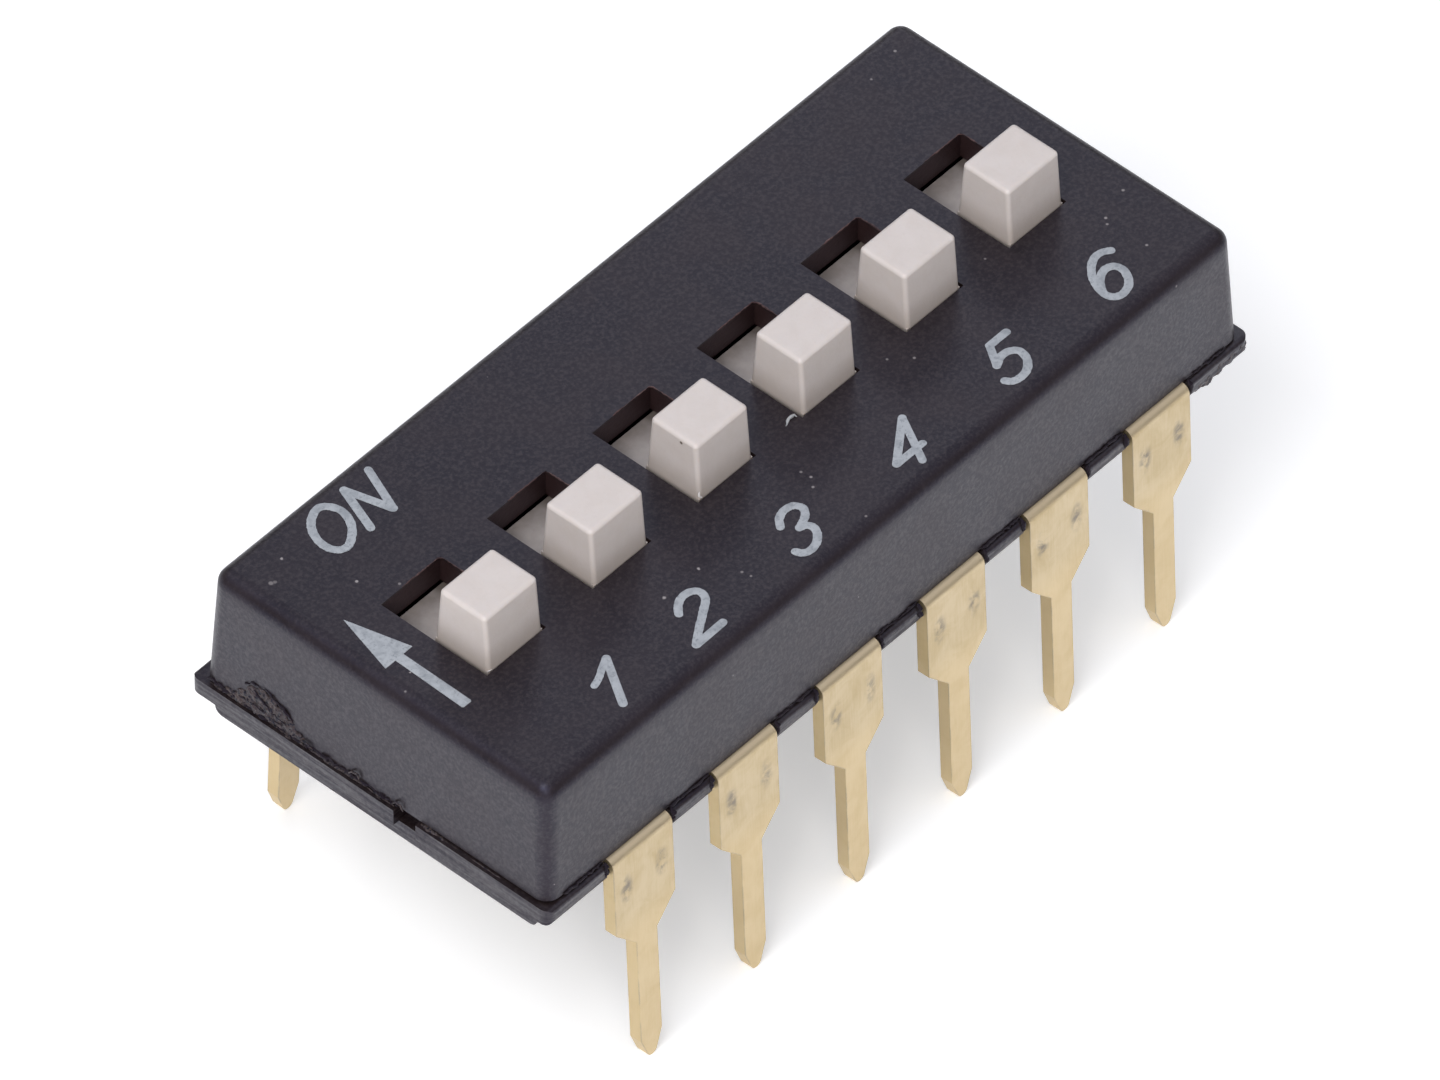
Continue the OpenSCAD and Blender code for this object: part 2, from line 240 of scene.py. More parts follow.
class EffectGroup:
    """Base of the shared shader node groups, each built once and reused by many materials."""

    name: str = ""
    inputs: dict[str, tuple[str, Any]] = {}
    outputs: dict[str, str] = {}

    @classmethod
    def tree(cls) -> bpy.types.NodeTree:
        """The group's node tree, which is built at its first use."""
        found = bpy.data.node_groups.get(cls.name)
        if found is not None:
            return found
        tree = bpy.data.node_groups.new(cls.name, "ShaderNodeTree")
        for label, (kind, value) in cls.inputs.items():
            socket = tree.interface.new_socket(label, in_out="INPUT", socket_type=kind)
            if value is not None:
                socket.default_value = value
        for label, kind in cls.outputs.items():
            tree.interface.new_socket(label, in_out="OUTPUT", socket_type=kind)
        canvas = Canvas(tree)
        entry = canvas.add("NodeGroupInput")
        leave = canvas.add("NodeGroupOutput")
        for label, socket in cls.build(canvas, entry.outputs).items():
            canvas.put(leave.inputs[label], socket)
        return tree

    @classmethod
    def build(cls, canvas: Canvas, given: Sockets) -> dict[str, Socket]:
        """Builds the inside of the group and returns its output sockets by name."""
        raise NotImplementedError

    @classmethod
    def place(cls, canvas: Canvas, **values: Any) -> Sockets:
        """Adds the group to a material.

        Args:
            canvas: The material's canvas.
            **values: Inputs by name, with spaces written as underscores.

        Returns:
            The outputs of the group node.
        """
        node = canvas.add("ShaderNodeGroup", node_tree=cls.tree())
        canvas.feed(node, **values)
        return node.outputs


class MouldGrain(EffectGroup):
    """Fine spark-eroded grain of a moulded face, with slow changes of tone."""

    name = "mould_grain"
    inputs = {"Vector": (VECTOR, None), "Grain": (FLOAT, 22.0), "Mottle": (FLOAT, 1.3)}
    outputs = {"Height": FLOAT, "Tone": FLOAT, "Fine": FLOAT}

    @classmethod
    def build(cls, canvas: Canvas, given: Sockets) -> dict[str, Socket]:
        """Sums two noises for the height and takes a slow one for the tone."""
        fine = canvas.noise(given["Vector"], given["Grain"], detail=4.0, rough=0.7)
        coarse = canvas.noise(given["Vector"], canvas.times(given["Grain"], 0.28), detail=2.0)
        slow = canvas.noise(given["Vector"], given["Mottle"], detail=4.0, rough=0.6,
                            distortion=0.4)
        height = canvas.math("MULTIPLY_ADD", coarse, 0.5, fine)
        return {"Height": height, "Tone": slow, "Fine": fine}


class DustSpecks(EffectGroup):
    """Sparse pale specks of dust that lie on a surface."""

    name = "dust_specks"
    inputs = {"Vector": (VECTOR, None), "Cells": (FLOAT, 3.0),
              "Share": (FLOAT, 0.12), "Size": (FLOAT, 0.09)}
    outputs = {"Mask": FLOAT}

    @classmethod
    def build(cls, canvas: Canvas, given: Sockets) -> dict[str, Socket]:
        """Keeps a small share of Voronoi cells and draws a speck in the middle of each."""
        warp = canvas.noise(given["Vector"], 9.0, detail=2.0)
        bent = canvas.add("ShaderNodeVectorMath", operation="ADD")
        canvas.put(bent.inputs[0], given["Vector"])
        shift = canvas.add("ShaderNodeCombineXYZ")
        canvas.feed(shift, X=canvas.times(warp, 0.05), Y=canvas.times(warp, -0.04))
        canvas.put(bent.inputs[1], shift.outputs[0])
        cells = canvas.add("ShaderNodeTexVoronoi")
        canvas.feed(cells, Vector=bent.outputs[0], Scale=given["Cells"])
        pick = canvas.add("ShaderNodeSeparateColor")
        canvas.put(pick.inputs[0], cells.outputs["Color"])
        chosen = canvas.math("LESS_THAN", pick.outputs[0], given["Share"])
        size = canvas.times(given["Size"], canvas.math("MULTIPLY_ADD", pick.outputs[1], 0.9, 0.35))
        near = canvas.ramp(cells.outputs["Distance"], canvas.times(size, 0.3), size, 1.0, 0.0)
        strength = canvas.math("MULTIPLY_ADD", pick.outputs[2], 0.7, 0.3)
        return {"Mask": canvas.times(canvas.times(near, chosen), strength)}


class EdgeLine(EffectGroup):
    """Mask of a thin broken line along the outer edges of a piece."""

    name = "edge_line"
    inputs = {"Width": (FLOAT, 0.00004), "Break": (FLOAT, 6.0), "Vector": (VECTOR, None)}
    outputs = {"Mask": FLOAT}

    @classmethod
    def build(cls, canvas: Canvas, given: Sockets) -> dict[str, Socket]:
        """Compares the rounded normal of a Bevel node with the true one."""
        bevel = canvas.add("ShaderNodeBevel", samples=6)
        canvas.put(bevel.inputs["Radius"], given["Width"])
        true = canvas.add("ShaderNodeNewGeometry")
        dot = canvas.add("ShaderNodeVectorMath", operation="DOT_PRODUCT")
        canvas.put(dot.inputs[0], bevel.outputs["Normal"])
        canvas.put(dot.inputs[1], true.outputs["Normal"])
        line = canvas.ramp(dot.outputs["Value"], 0.86, 0.99, 1.0, 0.0)
        broken = canvas.ramp(canvas.noise(given["Vector"], given["Break"], detail=3.0), 0.35, 0.65)
        return {"Mask": canvas.times(line, broken)}


class RoundedRim(EffectGroup):
    """Mask of rounded edges and corners, where the normal leaves the piece's own axes."""

    name = "rounded_rim"
    inputs = {"Flat": (FLOAT, 0.965), "Round": (FLOAT, 0.76)}
    outputs = {"Mask": FLOAT}

    @classmethod
    def build(cls, canvas: Canvas, given: Sockets) -> dict[str, Socket]:
        """Takes the largest part of the normal, which is near one on every level face."""
        parts = canvas.split(canvas.add("ShaderNodeTexCoord").outputs["Normal"])
        sizes = [canvas.math("ABSOLUTE", parts[axis]) for axis in "XYZ"]
        largest = canvas.math("MAXIMUM", canvas.math("MAXIMUM", sizes[0], sizes[1]), sizes[2])
        return {"Mask": canvas.ramp(largest, given["Round"], given["Flat"], 1.0, 0.0)}


class SlotShade(EffectGroup):
    """Painted shade that deepens low down in a row of slots, most along their walls."""

    half_width = 0.76
    half_length = 1.25
    half_row = 7.4
    lip = (4.66, 4.726)
    name = "slot_shade"
    inputs = {"Vector": (VECTOR, None), "Pitch": (FLOAT, PITCH), "Bottom": (FLOAT, 4.52),
              "Top": (FLOAT, 4.8)}
    outputs = {"Mask": FLOAT, "Wall": FLOAT}

    @classmethod
    def build(cls, canvas: Canvas, given: Sockets) -> dict[str, Socket]:
        """Fades in below the top face and grows towards the walls and the ON end."""
        parts = canvas.split(given["Vector"])
        low = canvas.ramp(parts["Z"], given["Bottom"], given["Top"], 1.0, 0.0)
        shifted = canvas.math("ADD", parts["X"], canvas.times(given["Pitch"], 3.0))
        local = canvas.math("ABSOLUTE", canvas.math(
            "SUBTRACT", canvas.math("MODULO", shifted, given["Pitch"]), canvas.times(given["Pitch"], 0.5)))
        wall = canvas.ramp(local, 0.45, cls.half_width, 0.5, 0.9)
        end = canvas.ramp(parts["Y"], 0.5, 1.1, 0.0, 0.35)
        cloud = canvas.ramp(canvas.noise(given["Vector"], 4.0, detail=3.0), 0.3, 0.7, -0.05, 0.05)
        deep = canvas.math("ADD", canvas.math("ADD", wall, end), cloud, clamp=True)
        row = canvas.math("LESS_THAN", canvas.math("ABSOLUTE", parts["X"]), cls.half_row)
        beside = canvas.times(canvas.math("LESS_THAN", local, cls.half_width), row)
        within = canvas.math("LESS_THAN", canvas.math("ABSOLUTE", parts["Y"]), cls.half_length)
        under = canvas.ramp(parts["Z"], *cls.lip, 1.0, 0.0)
        inner = canvas.times(canvas.times(beside, within), under)
        return {"Mask": canvas.times(low, deep), "Wall": inner}


class BrushLines(EffectGroup):
    """Fine rolling lines of sheet metal, drawn out along Z."""

    name = "brush_lines"
    inputs = {"Vector": (VECTOR, None), "Lines": (FLOAT, 26.0), "Stretch": (FLOAT, 0.035)}
    outputs = {"Height": FLOAT, "Tone": FLOAT}

    @classmethod
    def build(cls, canvas: Canvas, given: Sockets) -> dict[str, Socket]:
        """Noise that is squeezed across the sheet and drawn out along Z."""
        parts = canvas.split(given["Vector"])
        drawn = canvas.add("ShaderNodeCombineXYZ")
        canvas.feed(drawn, X=parts["X"], Y=parts["Y"], Z=canvas.times(parts["Z"], given["Stretch"]))
        lines = canvas.noise(drawn.outputs[0], given["Lines"], detail=3.0, rough=0.6)
        cloud = canvas.noise(given["Vector"], 1.9, detail=4.0, rough=0.6, distortion=0.6)
        return {"Height": lines, "Tone": canvas.math("MULTIPLY_ADD", lines, 0.4, cloud)}


class Smudges(EffectGroup):
    """Grey rubbed blotches in a band of height, as forming tools leave on plated sheet."""

    half_spot = 0.17
    name = "rub_smudges"
    inputs = {"Vector": (VECTOR, None), "Pitch": (FLOAT, PITCH),
              "Low": (FLOAT, 1.05), "High": (FLOAT, 1.75),
              "Side": (FLOAT, 0.42)}
    outputs = {"Mask": FLOAT}

    @classmethod
    def build(cls, canvas: Canvas, given: Sockets) -> dict[str, Socket]:
        """Two blotches a side of each terminal, repeated with the pitch along X."""
        parts = canvas.split(given["Vector"])
        half = canvas.times(given["Pitch"], 0.5)
        shifted = canvas.math("ADD", parts["X"], canvas.times(half, 40.0))
        local = canvas.math("SUBTRACT", canvas.math("MODULO", shifted, given["Pitch"]), half)
        across = canvas.math("SUBTRACT", canvas.math("ABSOLUTE", local), given["Side"])
        middle = canvas.times(canvas.math("ADD", given["Low"], given["High"]), 0.5)
        tall = canvas.times(canvas.math("SUBTRACT", given["High"], given["Low"]), 0.5)
        along = canvas.math("DIVIDE", canvas.math("SUBTRACT", parts["Z"], middle), tall)
        wide = canvas.math("DIVIDE", across, cls.half_spot)
        reach = canvas.math("SQRT", canvas.math(
            "ADD", canvas.times(along, along), canvas.times(wide, wide)))
        spot = canvas.ramp(reach, 0.25, 1.15, 1.0, 0.0)
        torn = canvas.ramp(canvas.noise(given["Vector"], 4.5, detail=4.0, rough=0.65,
                                        distortion=0.5), 0.38, 0.66)
        return {"Mask": canvas.times(spot, torn)}


# Finishes


def clear_tree(owner: bpy.types.ID) -> Canvas:
    """Canvas on the emptied node tree of a material or a world."""
    owner.use_nodes = True
    owner.node_tree.nodes.clear()
    return Canvas(owner.node_tree)


def bump(canvas: Canvas, height: Any, strength: float, reach: float) -> Socket:
    """Adds a Bump node.

    Args:
        canvas: The material's canvas.
        height: Height socket.
        strength: Share of the effect.
        reach: Height of a full step in metres.

    Returns:
        The normal socket.
    """
    node = canvas.add("ShaderNodeBump")
    canvas.feed(node, Strength=strength, Distance=reach, Height=height)
    return node.outputs["Normal"]


@dataclass(frozen=True)
class Fleck:
    """A single speck at a measured place on the surface, in millimetres."""

    x: float
    y: float
    radius: float
    strength: float
    z: float = COVER_TOP

    def mask(self, canvas: Canvas, place: Any) -> Socket:
        """Adds the speck to a material.

        Args:
            canvas: The material's canvas.
            place: Coordinates in millimetres.

        Returns:
            A mask that is the speck's strength in its middle and 0 around it.
        """
        gap = canvas.add("ShaderNodeVectorMath", operation="DISTANCE")
        canvas.put(gap.inputs[0], place)
        gap.inputs[1].default_value = (self.x, self.y, self.z)
        return canvas.ramp(gap.outputs["Value"], self.radius * 0.45, self.radius,
                           self.strength, 0.0)


def marked(canvas: Canvas, place: Socket, marks: Socket, flecks: Sequence[Fleck]) -> Socket:
    """Adds single flecks to a mask of dust.

    Args:
        canvas: The material's canvas.
        place: Coordinates in millimetres.
        marks: Mask of the dust.
        flecks: The single flecks.

    Returns:
        The mask with all of them.
    """
    for fleck in flecks:
        marks = canvas.math("MAXIMUM", marks, fleck.mask(canvas, place))
    return marks


def dulled(canvas: Canvas, shine: Socket, mask: Socket, share: float) -> Socket:
    """Shine that loses a share of itself where the mask is 1."""
    return canvas.times(shine, canvas.math("MULTIPLY_ADD", mask, -share, 1.0))


@dataclass(frozen=True)
class Finish:
    """Base of the finishes: a material with one Principled BSDF that its paint method feeds."""

    name: str

    def make(self) -> bpy.types.Material:
        """Builds the material."""
        material = bpy.data.materials.new(self.name)
        canvas = clear_tree(material)
        surface = canvas.add("ShaderNodeBsdfPrincipled")
        leave = canvas.add("ShaderNodeOutputMaterial")
        canvas.put(leave.inputs["Surface"], surface.outputs["BSDF"])
        self.paint(canvas, surface, canvas.millimetres())
        return material

    def paint(self, canvas: Canvas, surface: bpy.types.Node, place: Socket) -> None:
        """Feeds the shader.

        Args:
            canvas: The material's canvas.
            surface: Its Principled BSDF.
            place: Object coordinates in millimetres.
        """
        raise NotImplementedError


@dataclass(frozen=True)
class BlackMoulding(Finish):
    """Charcoal glass-filled plastic with a fine grain and a little dust."""

    body: Colour = (0.0082, 0.0042, 0.0038)
    pale: Colour = (0.028, 0.019, 0.018)
    # Tone painted on the rounded rims; with their thinner coat it is painted shade where they reflect
    # little.
    rim: Colour = (0.027, 0.020, 0.0195)
    speck: Colour = (0.36, 0.33, 0.33)
    pit: Colour = (0.003, 0.002, 0.002)
    # Brown tone of the slot walls under the top face: painted shade.
    slot_wall_shade: Colour = (0.040, 0.021, 0.020)
    sheen: Colour = (0.53, 0.58, 1.0)
    edge_gain: float = 2.2
    gloss: float = 0.37
    roughness: float = 0.42
    grain: float = 14.0
    grain_depth: float = 0.000007
    dust_share: float = 0.14
    pits: float = 0.0
    # Share of coat taken off the rounded rims, as painted shade.
    rim_painted_shade: float = 0.22
    # Share of coat taken off the slot walls, as painted shade.
    wall_painted_shade: float = 0.72
    # Share of coat taken off a band just under the top face, as painted shade.
    brow_painted_shade: float = 0.78
    brow_rise: Span = (4.2, 4.62)
    brow_fall: Span = (4.64, 4.72)
    shine: float = 0.49
    strata: float = 0.0
    slots: bool = False
    flecks: tuple[Fleck, ...] = ()

    def paint(self, canvas: Canvas, surface: bpy.types.Node, place: Socket) -> None:
        """Mixes tone, roughness and shine from the shared effects."""
        grain = MouldGrain.place(canvas, Vector=place, Grain=self.grain, Mottle=0.9)
        dust = DustSpecks.place(canvas, Vector=place, Cells=2.3, Share=self.dust_share, Size=0.085)
        rim = RoundedRim.place(canvas)["Mask"]
        marks = marked(canvas, place, dust["Mask"], self.flecks)
        tone = canvas.blend(marks, self._tone(canvas, place, grain, rim), self.speck)
        rough = canvas.ramp(grain["Tone"], 0.2, 0.8, self.roughness - 0.05, self.roughness + 0.06)
        rough = canvas.math("MULTIPLY_ADD", marks, 0.3, rough)
        shine = self._shine(canvas, place, grain, rim)
        # Slot walls get a brown tone and a thinner coat: painted shade inside the narrow slots.
        if self.slots:
            walls = SlotShade.place(canvas, Vector=place)["Wall"]
            tone = canvas.blend(canvas.times(walls, 0.85), tone, self.slot_wall_shade)
            shine = dulled(canvas, shine, walls, self.wall_painted_shade)
            # A band just under the top face loses coat: painted shade that widens the dark band along the
            # top edges.
            height = canvas.split(place)["Z"]
            brow = canvas.times(canvas.ramp(height, *self.brow_rise),
                                canvas.ramp(height, *self.brow_fall, 1.0, 0.0))
            shine = dulled(canvas, shine, brow, self.brow_painted_shade)
        canvas.feed(surface, Base_Color=tone, Roughness=rough,
                    Coat_Weight=canvas.math("MAXIMUM", shine, 0.0),
                    Normal=bump(canvas, grain["Height"], 1.0, self.grain_depth))
        surface.inputs["Specular IOR Level"].default_value = self.gloss
        surface.inputs["Specular Tint"].default_value = (*self.sheen, 1.0)
        surface.inputs["Coat Roughness"].default_value = self.roughness

    def _tone(self, canvas: Canvas, place: Socket, grain: Sockets, rim: Socket) -> Socket:
        """Colour of the bare plastic with its rims painted a pale brown as painted shade, thin paler lines
        along the edges and pits.
        """
        edge = EdgeLine.place(canvas, Vector=place, Width=0.00004, Break=5.0)
        tone = canvas.blend(canvas.ramp(grain["Tone"], 0.3, 0.72, 0.0, 0.5), self.body, self.pale)
        tone = canvas.blend(canvas.ramp(grain["Fine"], 0.46, 0.68, 0.0, 0.75), tone, self.pale)
        # Rounded rims get a pale brown: painted shade, together with their thinner coat.
        tone = canvas.blend(canvas.times(rim, 0.55), tone, self.rim)
        tone = canvas.blend(canvas.times(edge["Mask"], 0.3), tone,
                            tuple(self.edge_gain * c for c in self.rim))
        if self.pits:
            holes = canvas.ramp(canvas.noise(place, 15.0, detail=3.0), 0.41, 0.49, self.pits, 0.0)
            tone = canvas.blend(holes, tone, self.pit)
        return tone

    def _shine(self, canvas: Canvas, place: Socket, grain: Sockets, rim: Socket) -> Socket:
        """Coat that is cut at rims as painted shade and varies with the grain and with level layers."""
        # Rims lose coat: painted shade of their dim reflection.
        shine = canvas.math("MULTIPLY_ADD", rim, -self.rim_painted_shade, self.shine)
        shine = canvas.math("ADD", shine, canvas.ramp(grain["Fine"], 0.38, 0.64, -0.14, 0.14))
        if self.strata:
            flat = canvas.add("ShaderNodeVectorMath", operation="MULTIPLY")
            canvas.put(flat.inputs[0], place)
            flat.inputs[1].default_value = (0.3, 0.3, 6.0)
            lines = canvas.noise(flat.outputs[0], 2.0, detail=4.0, rough=0.6, distortion=0.3)
            shine = canvas.math("ADD", shine, canvas.ramp(lines, 0.35, 0.65, -self.strata, self.strata))
        return shine


@dataclass(frozen=True)
class IvoryMoulding(Finish):
    """Warm off-white satin plastic of the actuators, soft at its edges."""

    body: Colour = (0.69, 0.63, 0.605)
    shade: Colour = (0.63, 0.565, 0.53)
    # Paler tone of the rounded edges: painted highlight.
    rim: Colour = (0.80, 0.745, 0.72)
    # Multiplied into the slider plates low in the slots: painted shade of the recess.
    recess_shade: Colour = (0.20, 0.18, 0.165)
    # Multiplied into the stem's lowest part: painted shade near the cover.
    foot: Colour = (0.75, 0.725, 0.695)
    dirt: Colour = (0.11, 0.075, 0.05)
    foot_fade: Span = (4.7, 5.32)
    plate_top: float = 4.62
    roughness: float = 0.42
    flecks: tuple[Fleck, ...] = ()

    def paint(self, canvas: Canvas, surface: bpy.types.Node, place: Socket) -> None:
        """Mixes tone and roughness, paints shade low in the slots and at the foot of the stem and a
        highlight on the rims, and lets a little light into the plastic.
        """
        grain = MouldGrain.place(canvas, Vector=place, Grain=13.0, Mottle=2.2)
        dust = DustSpecks.place(canvas, Vector=place, Cells=3.4, Share=0.035, Size=0.05)
        rim = RoundedRim.place(canvas)
        low = SlotShade.place(canvas, Vector=place)
        tone = canvas.blend(canvas.ramp(grain["Tone"], 0.3, 0.75, 0.0, 0.5), self.body, self.shade)
        tone = canvas.blend(canvas.ramp(grain["Fine"], 0.5, 0.75, 0.0, 0.4), tone, self.shade)
        # Rounded edges are blended paler: painted highlight.
        tone = canvas.blend(canvas.times(rim["Mask"], 0.1), tone, self.rim)
        marks = marked(canvas, place, canvas.times(dust["Mask"], 0.7), self.flecks)
        tone = canvas.blend(marks, tone, self.dirt)
        # Slider plates low in the slots are multiplied darker: painted shade.
        tone = canvas.blend(low["Mask"], tone, self.recess_shade, how="MULTIPLY")
        height = canvas.split(place)["Z"]
        # The lowest part of the stem above the plate is multiplied darker: painted shade near the cover.
        foot = canvas.times(canvas.ramp(height, *self.foot_fade, 1.0, 0.0),
                            canvas.math("GREATER_THAN", height, self.plate_top))
        tone = canvas.blend(foot, tone, self.foot, how="MULTIPLY")
        rough = canvas.ramp(grain["Tone"], 0.2, 0.8, self.roughness - 0.06, self.roughness + 0.08)
        canvas.feed(surface, Base_Color=tone, Roughness=rough,
                    Normal=bump(canvas, grain["Height"], 1.0, 0.000004))
        surface.inputs["Subsurface Weight"].default_value = 0.12
        surface.inputs["Subsurface Radius"].default_value = (1.0, 0.8, 0.6)
        surface.inputs["Subsurface Scale"].default_value = 0.0002


@dataclass(frozen=True)
class GoldPlating(Finish):
    """Thin satin gold plating on stamped sheet, greyed by tools, with its upward faces painted paler as
    painted light.
    """

    body: Colour = (0.645, 0.53, 0.35)
    deep: Colour = (0.56, 0.445, 0.26)
    flank: Colour = (0.56, 0.43, 0.22)
    leg: Colour = (0.74, 0.585, 0.345)
    rubbed: Colour = (0.30, 0.265, 0.225)
    # Paler tone of the upward faces, mostly the top of the bend: painted light.
    bend: Colour = (0.79, 0.645, 0.43)
    leg_fade: Span = (0.1, 1.0)
    roughness: float = 0.42

    def paint(self, canvas: Canvas, surface: bpy.types.Node, place: Socket) -> None:
        """Tints faces by their direction and height and lays smudges over them."""
        brush = BrushLines.place(canvas, Vector=place, Lines=34.0)
        edge = EdgeLine.place(canvas, Vector=place, Width=0.00005, Break=2.0)
        smudge = Smudges.place(canvas, Vector=place)["Mask"]
        dust = DustSpecks.place(canvas, Vector=place, Cells=3.5, Share=0.09, Size=0.07)
        height = canvas.split(place)["Z"]
        aim = canvas.split(canvas.add("ShaderNodeTexCoord").outputs["Normal"])
        sideways = canvas.math("ABSOLUTE", aim["X"])
        tone = canvas.blend(canvas.ramp(brush["Tone"], 0.45, 1.05), self.body, self.deep)
        tone = canvas.blend(canvas.ramp(sideways, 0.6, 0.9, 0.0, 0.6), tone, self.flank)
        tone = canvas.blend(canvas.ramp(height, *self.leg_fade, 0.5, 0.0), tone, self.leg)
        tone = canvas.blend(canvas.times(edge["Mask"], 0.6), tone, self.rubbed)
        # Upward faces are blended paler: painted light where the bend reflects the dark body.
        tone = canvas.blend(canvas.ramp(aim["Z"], 0.3, 0.75, 0.0, 0.9), tone, self.bend)
        tone = canvas.blend(canvas.times(smudge, 0.95), tone, self.rubbed)
        tone = canvas.blend(canvas.times(dust["Mask"], 0.4), tone, self.rubbed)
        rough = canvas.ramp(brush["Tone"], 0.3, 1.1, self.roughness - 0.06, self.roughness + 0.08)
        rough = canvas.math("MULTIPLY_ADD", smudge, 0.2, rough)
        metal = canvas.math("MULTIPLY_ADD", smudge, -0.35, 0.85)
        canvas.feed(surface, Base_Color=tone, Roughness=rough, Metallic=metal,
                    Normal=bump(canvas, brush["Height"], 0.6, 0.000003))


@dataclass(frozen=True)
class SpringBronze(Finish):
    """Rolled phosphor bronze of the contact springs."""

    body: Colour = (0.62, 0.40, 0.20)
    tarnish: Colour = (0.33, 0.19, 0.09)
    bright: Colour = (0.85, 0.66, 0.42)
    roughness: float = 0.3

    def paint(self, canvas: Canvas, surface: bpy.types.Node, place: Socket) -> None:
        """Mixes bronze and tarnish along the rolling lines."""
        brush = BrushLines.place(canvas, Vector=place, Lines=30.0, Stretch=0.2)
        edge = EdgeLine.place(canvas, Vector=place, Width=0.00002, Break=8.0)
        tone = canvas.blend(canvas.ramp(brush["Tone"], 0.55, 1.05), self.body, self.tarnish)
        tone = canvas.blend(canvas.times(edge["Mask"], 0.5), tone, self.bright)
        rough = canvas.ramp(brush["Tone"], 0.4, 1.1, self.roughness, self.roughness + 0.15)
        canvas.feed(surface, Base_Color=tone, Roughness=rough,
                    Normal=bump(canvas, brush["Height"], 0.6, 0.000002))
        surface.inputs["Metallic"].default_value = 1.0


@dataclass(frozen=True)
class PrintInk(Finish):
    """Pad-printed pale blue-grey ink with thin spots."""

    body: Colour = (0.40, 0.425, 0.46)
    thin: Colour = (0.215, 0.235, 0.265)
    roughness: float = 0.55

    def paint(self, canvas: Canvas, surface: bpy.types.Node, place: Socket) -> None:
        """Lets the plastic's grain thin out the ink."""
        grain = MouldGrain.place(canvas, Vector=place, Grain=17.0, Mottle=5.0)
        tone = canvas.blend(canvas.ramp(grain["Tone"], 0.42, 0.7, 0.0, 0.6), self.body, self.thin)
        tone = canvas.blend(canvas.ramp(grain["Fine"], 0.52, 0.68, 0.0, 0.8), tone, self.thin)
        rough = canvas.ramp(grain["Tone"], 0.2, 0.8, self.roughness - 0.05, self.roughness + 0.1)
        canvas.feed(surface, Base_Color=tone, Roughness=rough,
                    Normal=bump(canvas, grain["Height"], 0.8, 0.000004))


# Modelling helpers


def select_only(piece: bpy.types.Object) -> None:
    """Deselects everything and makes one object active and selected."""
    bpy.ops.object.select_all(action="DESELECT")
    piece.select_set(True)
    bpy.context.view_layer.objects.active = piece


def apply_modifier(piece: bpy.types.Object, modifier: bpy.types.Modifier) -> None:
    """Applies one modifier of an object."""
    select_only(piece)
    bpy.ops.object.modifier_apply(modifier=modifier.name)


def clean_normals(piece: bpy.types.Object, merge: float = 0.0) -> None:
    """Merges points nearer than the given length and turns every face outward."""
    select_only(piece)
    bpy.ops.object.mode_set(mode="EDIT")
    bpy.ops.mesh.select_all(action="SELECT")
    if merge:
        bpy.ops.mesh.remove_doubles(threshold=merge)
    bpy.ops.mesh.normals_make_consistent(inside=False)
    bpy.ops.object.mode_set(mode="OBJECT")


def curve_to_mesh(curve: bpy.types.Curve, name: str) -> bpy.types.Object:
    """Puts a curve into the scene under a name and turns it into a mesh object."""
    holder = bpy.data.objects.new(name, curve)
    bpy.context.scene.collection.objects.link(holder)
    select_only(holder)
    bpy.ops.object.convert(target="MESH")
    return bpy.context.view_layer.objects.active


def to_metres(piece: bpy.types.Object) -> None:
    """Turns a piece modelled in millimetres at the origin into metres and applies it."""
    select_only(piece)
    piece.scale = (MM, MM, MM)
    bpy.ops.object.transform_apply(location=True, rotation=True, scale=True)


def finish_piece(piece: bpy.types.Object, name: str, material: bpy.types.Material, body: str) -> None:
    """Names a piece, gives it its material and lets it ride on its body.

    Args:
        piece: The finished mesh object, in millimetres.
        name: Name of the piece.
        material: Its material.
        body: Body that it rides on.
    """
    to_metres(piece)
    piece.name = name
    piece.data.name = name
    piece.data.materials.clear()
    piece.data.materials.append(material)
    clean_normals(piece)
    bpy.ops.object.shade_smooth_by_angle(angle=math.radians(SMOOTH_ANGLE))
    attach(piece, body)


def smooth_path(points: Sequence[Point], closed: bool, steps: int = 6) -> list[Vector]:
    """Runs a smooth curve through a few points.

    Args:
        points: Corner points of the path.
        closed: Whether the path returns to its start.
        steps: Number of pieces between two points.

    Returns:
        Points along the curve.
    """
    knots = [Vector(p) for p in points]
    count = len(knots)
    if count == 2:
        return knots
    runs = count if closed else count - 1
    made: list[Vector] = []
    for k in range(runs):
        b, c = knots[k], knots[(k + 1) % count]
        a = knots[k - 1] if closed or k else b * 2 - c
        d = knots[(k + 2) % count] if closed or k + 2 < count else c * 2 - b
        for s in range(steps):
            t = s / steps
            made.append(0.5 * ((2 * b) + (c - a) * t + (2 * a - 5 * b + 4 * c - d) * t * t
                               + (3 * b - a - 3 * c + d) * t ** 3))
    if not closed:
        made.append(knots[-1])
    return made


